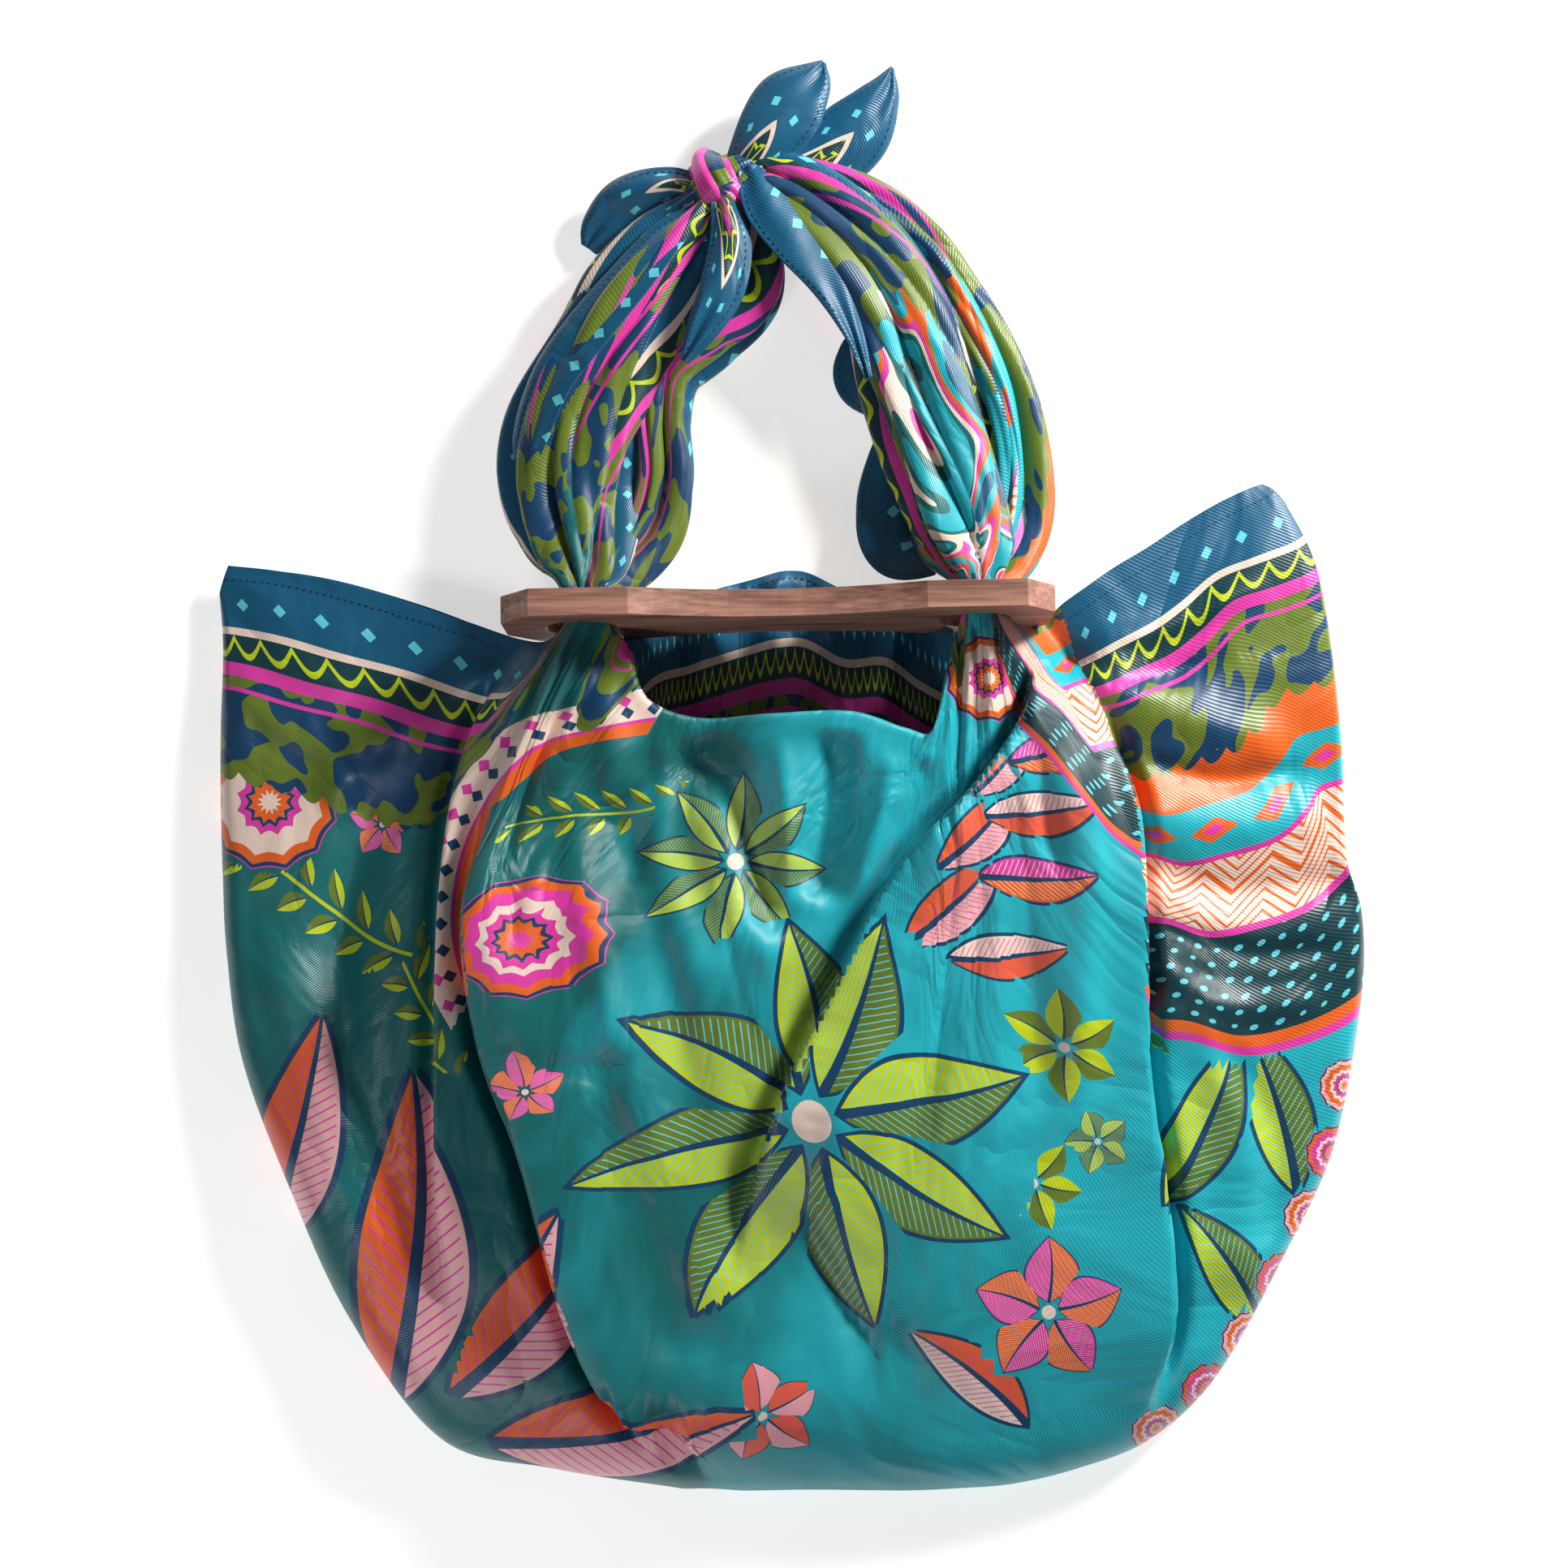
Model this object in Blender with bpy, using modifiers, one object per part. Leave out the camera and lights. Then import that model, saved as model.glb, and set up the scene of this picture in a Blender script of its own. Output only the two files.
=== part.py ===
"""A scarf bag lying on its back: one 900 mm square of silk twill and one wooden board with two holes.

The four corners of the scarf pass through the board's holes, two through each, and are tied above it
in one knot. Below the board the rest of the scarf hangs as a pouch with a wing at each side.

Row frame: +Z up, +X to the right as the bag is seen, +Y from the pouch towards the knot. The origin is
under the middle of the bag, on the surface it lies on. Tables are in millimetres.
"""

import math
from collections import namedtuple

import bmesh
import bpy
import numpy as np
from mathutils import Euler, Vector

MM = 0.001

# Driving sizes, in millimetres.
CLOTH = 1.6
FLOOR_LAYER = CLOTH / 2
RIM_HEIGHT = 4.8
LEAST_FRONT = 7.5
LIP_RADIUS = 2.2
NECK_STATIONS = (9.0, 22.0)
FLUTE_HEIGHT = 2.6
FLUTE_PITCH = 1.56
FLUTE_REACH = 3.2
FLUTE_FADE = 0.22

BAR_LENGTH = 240.0
BAR_DEPTH = 60.0
BAR_THICK = 12.0
BAR_WAIST_DEPTH = 36.0
BAR_BLOCK_INNER = 64.0
BAR_BLOCK_OUTER = 107.0
BAR_END_DEPTH = 28.0
BAR_EDGE_ROUND = 0.9
BAR_HOLE_RADIUS = 16.0
BAR_HOLE_OFFSET = 86.0
BAR_CENTRE = (-5.9, 74.0, 34.6)
BAR_TILT_DEG = -7.0
BAR_TURN_DEG = 1.2

# The gathered cloth in a hole swells to the hole's wall, and carries the board there.
PLUG_RADIUS = 11.5
PLUG_SEAT_RADIUS = BAR_HOLE_RADIUS - 0.75
PLUG_SEAT = 3.0
PLUG_LOW = -9.0
PLUG_HIGH = 9.5

POUCH_COLUMNS = 64
FRONT_ROWS = 20
BACK_ROWS = 4

# One row for each station along the scarf's upper edges, from the left wing's tip to the right wing's.
# front and back are where the two layers end at the top, rim is where they meet in the outer fold, and
# mid is halfway down the front, so that the front's strips of cloth follow its folds. belly is the front
# layer's height below the edge, and bend the width of its round shoulder at the rim. Past the front edge
# a lip of cloth goes on for twice the length lip, and curls down and under by curl degrees.
Station = namedtuple("Station", """front_x front_y front_z mid_x mid_y rim_x rim_y
                                   back_x back_y back_z belly bend lip curl""")
STATIONS = [
    Station(-253, 94, 8.5, -255, 88, -256.5, 82, -253, 94, 0.8, 8.5, 4, 1, 0),
    Station(-232, 92, 9, -245, 75, -255, 58, -232, 94, 0.8, 11, 9, 1, 0),
    Station(-207, 87, 10, -234, 54, -256, 22, -206, 90, 0.8, 13, 11, 1, 0),
    Station(-178, 79, 12, -220, 34, -256, -7, -177, 82, 0.8, 15, 12, 1, 0),
    Station(-149, 70, 15, -205, 12, -255, -43, -148, 72, 0.8, 17, 14, 1, 0),
    Station(-122, 61, 15.5, -192, -12, -253, -79, -121, 60, 2.5, 20, 16, 1, 0),
    Station(-108, 60, 26, -184, -38, -246, -126, -108, 57, 11, 22, 20, 1, 0),
    Station(-100, 66, 36.5, -174, -64, -226, -180, -100, 65, 31, 25, 26, 3, 0),
    Station(-95, 69, 41, -163, -92, -198, -241, -95, 68, 27, 28, 34, 3, 0),
    Station(-90, 70, 43, -152, -108, -156, -296, -90, 69, 25, 31, 40, 3, 0),
    Station(-85, 69, 41, -141, -112, -106, -309, -85, 68, 27, 34, 44, 3, 0),
    Station(-82, 62, 38, -127, -112, -54, -317, -82, 61, 30, 37, 46, 3, 0),
    Station(-72, 50, 42, -112, -112, -46, -318, -74, 60, 10, 40, 48, 4, 60),
    Station(-64, 33, 43, -95, -115, -39, -318, -62, 66, 0.8, 40, 48, 8, 150),
    Station(-41, 25, 40, -73, -118, -31, -318.5, -45, 81, 0.8, 38, 48, 11, 180),
    Station(-9, 27, 42, -47, -118, -22, -319, -22, 89, 0.8, 40, 48, 12, 180),
    Station(25, 28, 41, -20, -114, -12, -319, 4, 94, 0.8, 40, 48, 11, 180),
    Station(48, 21, 39, 4, -106, -1, -319, 26, 84, 0.8, 40, 48, 9, 175),
    Station(60, 19, 41, 30, -99, 10, -319, 45, 84, 0.8, 40, 48, 5, 130),
    Station(67, 40, 41, 54, -94, 22, -319, 61, 61, 3.5, 40, 48, 3, 40),
    Station(74, 65, 38, 64, -90, 37, -319, 72, 63, 30, 40, 48, 3, 0),
    Station(77, 70, 42, 71, -89, 54, -319, 76, 69, 27, 40, 48, 3, 0),
    Station(81, 72, 44, 82, -91, 74, -318, 81, 71, 25, 39, 46, 3, 0),
    Station(86, 71, 42, 97, -95, 99, -316, 86, 70, 27, 36, 44, 3, 0),
    Station(91, 68, 37, 120, -101, 128, -309, 91, 67, 31, 32, 38, 3, 0),
    Station(103, 61, 26, 153, -104, 160, -296, 103, 58, 10, 28, 32, 1, 0),
    Station(113, 68, 13, 172, -90, 190, -268, 112, 66, 2, 24, 26, 1, 0),
    Station(121, 76, 16, 186, -72, 220, -215, 121, 75, 0.8, 21, 22, 1, 0),
    Station(132, 84, 17, 198, -46, 243, -165, 132, 84, 0.8, 19, 18, 1, 0),
    Station(145, 93, 15, 207, -12, 255.3, -100, 145, 94, 0.8, 17, 15, 1, 0),
    Station(160, 102, 13, 212, 16, 256, -62, 160, 104, 0.8, 15, 13, 1, 0),
    Station(175, 112, 11, 216, 40, 249, -36, 175, 114, 0.8, 14, 11, 1, 0),
    Station(190, 121, 10, 221, 72, 246, 25, 190, 123, 0.8, 13, 10, 1, 0),
    Station(204, 128, 9, 223, 108, 237, 90, 204, 130, 0.8, 11, 8, 1, 0),
    Station(213, 131.5, 8.5, 218, 128, 223, 121, 213, 132, 0.8, 8.5, 4, 1, 0),
]

# The main folds of the front layer. A ridge is raised on both sides of its path. A step is raised on
# the side to the left of its path, going from its first point, and drops within edge millimetres.
Fold = namedtuple("Fold", "kind height wide edge path")
FOLDS = [
    Fold("step", 7, 34, 3, [(-119, 56), (-142, 14), (-152, -44), (-154, -110), (-154, -180), (-150, -236)]),
    Fold("step", 11, 60, 3, [(-126, -4), (-138, -56), (-131, -118), (-114, -162), (-94, -236), (-70, -276),
                             (-42, -288), (-38, -306)]),
    Fold("step", 12, 46, 4, [(108, 54), (106, 30), (84, -2), (48, -42), (22, -92), (-4, -146), (-26, -214)]),
    Fold("step", 9, 46, 3, [(156, -280), (164, -232), (160, -178), (153, -130), (151, -60), (147, -8),
                            (132, 40)]),
    Fold("ridge", -13, 11, 0, [(-44, 22), (-30, -4), (-18, -34), (-6, -74)]),
    Fold("ridge", -12, 10, 0, [(19, 24), (16, -14), (10, -56)]),
    Fold("ridge", 7, 12, 0, [(-84, 64), (-102, 36), (-122, 4), (-131, -50), (-124, -108)]),
    Fold("ridge", 7, 10, 0, [(-72, 42), (-84, 6), (-108, -20), (-128, -62)]),
    Fold("ridge", -6, 16, 0, [(-132, 40), (-176, -10), (-214, -96)]),
    Fold("ridge", 5, 13, 0, [(-128, 52), (-168, 26), (-210, -12)]),
    Fold("ridge", -3, 6, 0, [(-132, -122), (-100, -126), (-66, -124)]),
    Fold("ridge", -3, 5, 0, [(4, -190), (24, -232), (46, -272)]),
    Fold("ridge", 5, 12, 0, [(126, 58), (168, 30), (226, 14)]),
    Fold("ridge", -5, 8, 0, [(152, -36), (196, -50), (252, -44)]),
    Fold("ridge", 4, 11, 0, [(150, -14), (198, -22), (240, -14)]),
    Fold("ridge", 5, 15, 0, [(176, -90), (200, -160), (196, -230)]),
]

# The gathered corners above the board: the line that each follows, and the half width and half height
# of its bundle there. Lobes are the rolls of cloth seen round the bundle, crease how deep it is between.
Section = namedtuple("Section", "x y z half_width half_height")
Strand = namedtuple("Strand", "name lobes crease twist sections")
STRANDS = [
    Strand("left_front", 8, 0.30, 0.9, [
        Section(-91, 81, 34, 8, 8), Section(-91, 87.5, 34, 11.5, 11), Section(-91, 95, 31, 20, 15),
        Section(-94, 110, 25, 27, 17.5), Section(-97, 130, 20, 31, 18), Section(-95, 155, 19, 31, 17.5),
        Section(-85, 182, 18.5, 28, 17), Section(-70, 208, 18, 26, 16), Section(-53, 232, 17, 21, 14),
        Section(-39, 250, 17, 13, 12), Section(-30, 263, 16, 8, 9)]),
    Strand("left_back", 6, 0.26, -0.6, [
        Section(-89, 79.7, 31, 6.5, 6.5), Section(-86, 89, 30, 10, 10), Section(-77, 98, 24, 15, 13),
        Section(-64, 113, 17, 16, 14), Section(-58, 135, 15, 15, 13.5), Section(-59, 160, 14, 14, 13),
        Section(-57, 183, 13.5, 16, 12.5), Section(-42, 203, 13, 20, 12), Section(-26, 222, 13, 22, 12),
        Section(-23, 245, 14, 15, 12), Section(-28, 261, 15, 9, 9)]),
    Strand("right_front", 8, 0.30, -0.9, [
        Section(81, 84, 34, 8, 8), Section(81, 91, 34, 11.5, 11), Section(80, 99, 31, 20, 15),
        Section(78, 113, 25, 26, 17.5), Section(72, 135, 20, 27, 18), Section(63, 160, 19, 27, 17.5),
        Section(55, 185, 18.5, 27, 17), Section(45, 210, 18, 25, 16.5), Section(28, 235, 18, 23, 15.5),
        Section(5, 257, 18, 18, 14), Section(-14, 267, 17, 13, 12), Section(-28, 265, 16, 9, 9)]),
    Strand("right_back", 6, 0.26, 0.6, [
        Section(82, 82.4, 31, 6.5, 6.5), Section(85, 91, 30, 10, 10), Section(92, 101, 24, 15, 13),
        Section(99, 118, 17, 16, 14), Section(100, 142, 15, 16, 14), Section(95, 168, 14.5, 17, 13.5),
        Section(84, 192, 14, 17, 13), Section(71, 214, 13.5, 15, 12.5), Section(55, 236, 13, 14, 12),
        Section(30, 255, 13, 13, 11), Section(-5, 266, 14, 11, 10), Section(-25, 262, 15, 8, 9)]),
]
STRAND_STEPS = 16
POINTS_A_LOBE = 3

# The free corners past the knot, and the hem that stands off the right strand: a cupped sheet along a line.
Leaf = namedtuple("Leaf", "x y z half_width cup")
TAILS = {
    "tail_upper_left": [Leaf(-27, 264, 20, 6, 2), Leaf(-13, 281, 24, 14, 5), Leaf(-1, 299, 23, 16.5, 5),
                        Leaf(8, 311, 20, 11, 3), Leaf(13, 318.6, 18, 2.5, 0.5)],
    "tail_upper_right": [Leaf(-20, 264, 14, 7, 2), Leaf(8, 274, 12, 13, 4), Leaf(27, 290, 11, 16.5, 5),
                         Leaf(39, 307, 10, 11, 3), Leaf(44, 318.6, 9, 2.5, 0.5)],
    "tail_left": [Leaf(-33, 260, 16, 5, 1), Leaf(-53, 264, 17, 9, 4), Leaf(-72, 257, 13, 13, 6),
                  Leaf(-85, 246, 9, 10, 3), Leaf(-91, 238, 7, 4, 0.5)],
    "tail_down": [Leaf(-32, 258, 29, 4, 1), Leaf(-27, 238, 33, 9, 3), Leaf(-30, 216, 35, 10, 3),
                  Leaf(-39, 197, 34, 7, 2), Leaf(-47, 183, 32, 3, 0.5)],
    "hem_low": [Leaf(66, 96, 24, 6, 1), Leaf(49, 104, 18, 16, 3), Leaf(45, 122, 13, 16, 4),
                Leaf(47, 142, 12, 13, 3), Leaf(52, 158, 13, 10, 2)],
    "hem_high": [Leaf(46, 166, 13, 8, 1), Leaf(34, 178, 12, 14, 3), Leaf(33, 190, 12, 12, 3),
                 Leaf(38, 203, 13, 6, 1)],
}
LEAF_STEPS = 7
LEAF_ACROSS = 4

KNOT_CENTRE = (-29.5, 264, 17.5)
KNOT_HALF = (12.5, 13, 15)
KNOT_LOBES = 5
KNOT_CREASE = 0.16

SILK_TEAL = (0.030, 0.235, 0.290, 1.0)
WALNUT = (0.300, 0.150, 0.095, 1.0)


def clear_scene():
    for old in list(bpy.data.objects):
        bpy.data.objects.remove(old, do_unlink=True)


def new_collection(name):
    made = bpy.data.collections.new(name)
    bpy.context.scene.collection.children.link(made)
    return made


def new_material(name, colour, roughness):
    made = bpy.data.materials.new(name)
    made.use_nodes = True
    shader = made.node_tree.nodes["Principled BSDF"]
    shader.inputs["Base Color"].default_value = colour
    shader.inputs["Roughness"].default_value = roughness
    shader.inputs["Metallic"].default_value = 0.0
    return made


def between(rows, at):
    """The smooth value of a table's rows at a fractional row number."""
    last = len(rows) - 1
    i = min(max(int(at), 0), last - 1)
    t = at - i
    a, b, c, d = (np.array(rows[min(max(k, 0), last)], float) for k in (i - 1, i, i + 1, i + 2))
    return 0.5 * (2 * b + (c - a) * t + (2 * a - 5 * b + 4 * c - d) * t**2 + (3 * b - a - 3 * c + d) * t**3)


def ease(t):
    t = min(max(t, 0.0), 1.0)
    return t * t * (3 - 2 * t)


def loft(name, rows, collection, closed_rows):
    """A mesh through rows of points, in millimetres. Closed rows are rings, and get a flat end each."""
    mesh = bpy.data.meshes.new(name)
    across = len(rows[0])
    points = [tuple(c * MM for c in p) for row in rows for p in row]
    faces = []
    for r in range(len(rows) - 1):
        for c in range(across if closed_rows else across - 1):
            d = (c + 1) % across
            faces.append((r * across + c, r * across + d, (r + 1) * across + d, (r + 1) * across + c))
    if closed_rows:
        faces.append(tuple(reversed(range(across))))
        faces.append(tuple(range((len(rows) - 1) * across, len(rows) * across)))
    mesh.from_pydata(points, [], faces)
    work = bmesh.new()
    work.from_mesh(mesh)
    if closed_rows:
        bmesh.ops.recalc_face_normals(work, faces=work.faces)
    work.to_mesh(mesh)
    work.free()
    made = bpy.data.objects.new(name, mesh)
    collection.objects.link(made)
    return made


def make_helper(obj):
    obj.hide_render = True
    obj.display_type = "WIRE"
    return obj


def fold_line(path, steps=14):
    """Points along a smooth line through a fold's path."""
    return np.array([between(path, k * (len(path) - 1) / steps) for k in range(steps + 1)])


FOLD_LINES = [fold_line(fold.path) for fold in FOLDS]


def nearest_on(line, point):
    """The signed distance of a point from a line, left of it positive, and how far along the line it is."""
    start, step = line[:-1], np.diff(line, axis=0)
    to = point - start
    t = np.clip((to * step).sum(1) / (step * step).sum(1), 0, 1)
    away = to - step * t[:, None]
    i = int((away**2).sum(1).argmin())
    side = step[i][0] * away[i][1] - step[i][1] * away[i][0]
    return math.copysign(float(np.hypot(*away[i])), side), (i + t[i]) / len(step)


def fold_height(x, y):
    """What the named folds add to the front layer's height at a place."""
    total = 0.0
    for fold, line in zip(FOLDS, FOLD_LINES):
        side, along = nearest_on(line, np.array((x, y)))
        taper = ease(along / 0.18) * ease((1 - along) / 0.22)
        if fold.kind == "ridge":
            total += fold.height * taper * math.exp(-((side / fold.wide) ** 2))
        else:
            rise = ease(0.5 + side / (2 * fold.edge))
            total += fold.height * taper * rise * math.exp(-max(side, 0) / fold.wide)
    return total


def flute(at, share):
    """The radiating flutes below each hole: strong where the cloth is gathered, gone a hand's width away."""
    near = max(math.exp(-(((at - middle) / FLUTE_REACH) ** 2)) for middle in NECK_STATIONS)
    wave = math.sin(2 * math.pi * at / FLUTE_PITCH)
    return FLUTE_HEIGHT * near * wave * ease(share / 0.05) * math.exp(-share / FLUTE_FADE)


def front_place(row, share):
    """The place seen from above: a bow from the top edge, through the strip's mid point, to the rim."""
    bow = 4 * share * (1 - share)
    x = row.front_x + (row.rim_x - row.front_x) * share
    y = row.front_y + (row.rim_y - row.front_y) * share
    x += bow * (row.mid_x - (row.front_x + row.rim_x) / 2)
    y += bow * (row.mid_y - (row.front_y + row.rim_y) / 2)
    return x, y


def front_point(at, share):
    """A point of the front layer: at is the station, and share runs from the top edge to the rim."""
    row = Station(*between(STATIONS, at))
    x, y = front_place(row, share)
    long = math.hypot(row.rim_x - row.front_x, row.rim_y - row.front_y)
    height = row.front_z + (row.belly - row.front_z) * ease(share / 0.3)
    inland = ease(share * long / 30) * ease((1 - share) * long / 26)
    height = max(height + flute(at, share) + fold_height(x, y) * inland, LEAST_FRONT)
    shoulder = max(0.0, 1 - (1 - share) * long / max(row.bend, 2))
    return x, y, RIM_HEIGHT + (height - RIM_HEIGHT) * math.sqrt(max(0.0, 1 - shoulder**2))


def back_point(at, share):
    """A point of the back layer, which lies flat on the surface but for the rise to each hole."""
    row = Station(*between(STATIONS, at))
    x = row.back_x + (row.rim_x - row.back_x) * share
    y = row.back_y + (row.rim_y - row.back_y) * share
    long = math.hypot(row.rim_x - row.back_x, row.rim_y - row.back_y)
    height = FLOOR_LAYER + max(row.back_z - FLOOR_LAYER, 0) * (1 - ease(share * long / 62))
    shoulder = max(0.0, 1 - (1 - share) * long / 4.2)
    return x, y, height + (RIM_HEIGHT - height) * (1 - math.sqrt(max(0.0, 1 - shoulder**2)))


def lip_points(at):
    """The rows of the lip, from its free end to the front edge."""
    row = Station(*between(STATIONS, at))
    long = math.hypot(row.rim_x - row.front_x, row.rim_y - row.front_y)
    x, y, z = front_point(at, 0)
    inner = front_place(row, 0.05)
    out = Vector((x - inner[0], y - inner[1])).normalized()
    arc = min(math.pi * LIP_RADIUS, row.lip)
    bend = max(math.radians(row.curl), 0.001)
    points = []
    for turned, tail in ((1.0, row.lip), (1.0, row.lip * 0.3), (0.5, 0.0)):
        onward = arc / bend * math.sin(bend * turned) + tail * math.cos(bend * turned)
        down = arc / bend * (1 - math.cos(bend * turned)) + tail * math.sin(bend * turned)
        above = front_point(at, max(-onward, 0) / long)[2]
        points.append((x + out.x * onward, y + out.y * onward, above - down))
    return points


def column(at):
    """One strip of the pouch: turned-in lip, front layer down to the rim, and back layer up again."""
    row = Station(*between(STATIONS, at))
    long = math.hypot(row.rim_x - row.front_x, row.rim_y - row.front_y)
    corner = min(row.bend / long, 0.45)
    points = lip_points(at)
    shares = [(1 - corner) * (k / (FRONT_ROWS - 4)) ** 1.15 for k in range(FRONT_ROWS - 3)]
    shares += [1 - corner * (1 - math.sin(math.pi / 2 * k / 4)) for k in range(1, 5)]
    points += [front_point(at, share) for share in shares]
    back_long = math.hypot(row.rim_x - row.back_x, row.rim_y - row.back_y)
    turn = min(4.2 / back_long, 0.45)
    shares = [1 - turn * (1 - math.cos(math.pi / 2 * k / 2)) for k in (1, 2)]
    shares += [(1 - turn) * (1 - k / BACK_ROWS) for k in range(1, BACK_ROWS + 1)]
    return points + [back_point(at, share) for share in shares]


def make_pouch(collection):
    last = len(STATIONS) - 1
    rows = [column(last * k / (POUCH_COLUMNS - 1)) for k in range(POUCH_COLUMNS)]
    pouch = loft("scarf", rows, collection, closed_rows=False)
    shell = pouch.modifiers.new("cloth", "SOLIDIFY")
    shell.thickness = CLOTH * MM
    shell.offset = 0.0
    return pouch


def make_strand(strand, helpers):
    """A gathered corner: a bundle with deep creases between its rolls, flat where it lies on the surface."""
    rings = []
    last = len(strand.sections) - 1
    around = strand.lobes * POINTS_A_LOBE
    for k in range(STRAND_STEPS + 1):
        at = last * k / STRAND_STEPS
        here = Section(*between(strand.sections, at))
        ahead = between(strand.sections, min(at + 0.2, last))
        behind = between(strand.sections, max(at - 0.2, 0))
        way = Vector((ahead[0] - behind[0], ahead[1] - behind[1])).normalized()
        ring = []
        for j in range(around):
            angle = 2 * math.pi * j / around
            turn = angle + strand.twist * k / STRAND_STEPS + 0.25 * math.sin(3 * angle)
            groove = 1 - abs(math.sin(turn * strand.lobes / 2))
            swell = 1 - strand.crease * ease(k / 5) * groove**1.3
            side = math.cos(angle) * here.half_width * swell
            rise = math.sin(angle) * here.half_height * swell
            height = max(here.z + rise, 0.3)
            ring.append((here.x - way.y * side, here.y + way.x * side, height))
        rings.append(ring)
    return make_helper(loft(strand.name, rings, helpers, closed_rows=True))


def make_leaf(name, table, helpers):
    """A cupped strip of cloth that follows a line, as thick as the sheet."""
    rings = []
    last = len(table) - 1
    for k in range(LEAF_STEPS + 1):
        at = last * k / LEAF_STEPS
        here = Leaf(*between(table, at))
        ahead = between(table, min(at + 0.2, last))
        behind = between(table, max(at - 0.2, 0))
        way = Vector((ahead[0] - behind[0], ahead[1] - behind[1])).normalized()
        upper, lower = [], []
        for j in range(LEAF_ACROSS + 1):
            across = 2 * j / LEAF_ACROSS - 1
            x = here.x - way.y * across * here.half_width
            y = here.y + way.x * across * here.half_width
            z = here.z + here.cup * (0.5 - across**2)
            upper.append((x, y, z + CLOTH / 2))
            lower.append((x, y, z - CLOTH / 2))
        rings.append(upper + lower[::-1])
    return make_helper(loft(name, rings, helpers, closed_rows=True))


def bar_spot(along, across=0.0, depth=0.0):
    """A place given along, through and across the depth of the board, in the row frame."""
    turned = Vector((along, across, depth))
    turned.rotate(Euler((math.radians(BAR_TILT_DEG), 0, math.radians(BAR_TURN_DEG))))
    return Vector(BAR_CENTRE) + turned


def make_plug(name, along, helpers):
    """The gathered cloth inside a hole of the board."""
    centre = bar_spot(along)
    rings = []
    profile = ((PLUG_LOW, PLUG_RADIUS), (-PLUG_SEAT, PLUG_SEAT_RADIUS),
               (PLUG_SEAT, PLUG_SEAT_RADIUS), (PLUG_HIGH, PLUG_RADIUS))
    for y, wide in profile:
        ring = []
        for j in range(20):
            angle = 2 * math.pi * j / 20
            radius = wide * (1 - 0.10 * abs(math.sin(2.5 * angle)))
            x, z = centre.x + radius * math.cos(angle), centre.z + radius * math.sin(angle)
            ring.append((x, centre.y + y, z))
        rings.append(ring)
    return make_helper(loft(name, rings, helpers, closed_rows=True))


def make_knot(helpers):
    """The tied crossing: a lump of twisted rolls."""
    rings = []
    steps = 9
    for k in range(1, steps):
        polar = math.pi * k / steps
        ring = []
        for j in range(20):
            angle = 2 * math.pi * j / 20
            groove = 1 - abs(math.sin(KNOT_LOBES / 2 * (angle + 1.1 * polar)))
            swell = math.sin(polar) * (1 - KNOT_CREASE * groove)
            ring.append((
                KNOT_CENTRE[0] + KNOT_HALF[0] * swell * math.cos(angle),
                KNOT_CENTRE[1] + KNOT_HALF[1] * math.cos(polar),
                KNOT_CENTRE[2] + KNOT_HALF[2] * swell * math.sin(angle),
            ))
        rings.append(ring)
    return make_helper(loft("knot", rings, helpers, closed_rows=True))


def join(target, helpers):
    """Unites the helpers with the target, one after the other."""
    for helper in helpers:
        union = target.modifiers.new(helper.name, "BOOLEAN")
        union.operation = "UNION"
        union.solver = "MANIFOLD"
        union.object = helper


def bar_outline():
    """The board seen along its holes: two blocks with cut corners and a hollowed waist between them."""
    half, deep, waist, end = (v / 2 for v in (BAR_LENGTH, BAR_DEPTH, BAR_WAIST_DEPTH, BAR_END_DEPTH))
    right = [(BAR_BLOCK_INNER, deep), (BAR_BLOCK_OUTER, deep), (half, end)]
    steps = 12
    hollow = []
    for k in range(1, steps):
        along = BAR_BLOCK_INNER * (1 - 2 * k / steps)
        hollow.append((along, waist + (deep - waist) * (along / BAR_BLOCK_INNER) ** 2))
    upper = [(-x, y) for x, y in reversed(right)] + hollow[::-1] + right
    return upper + [(x, -y) for x, y in reversed(upper)]


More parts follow.
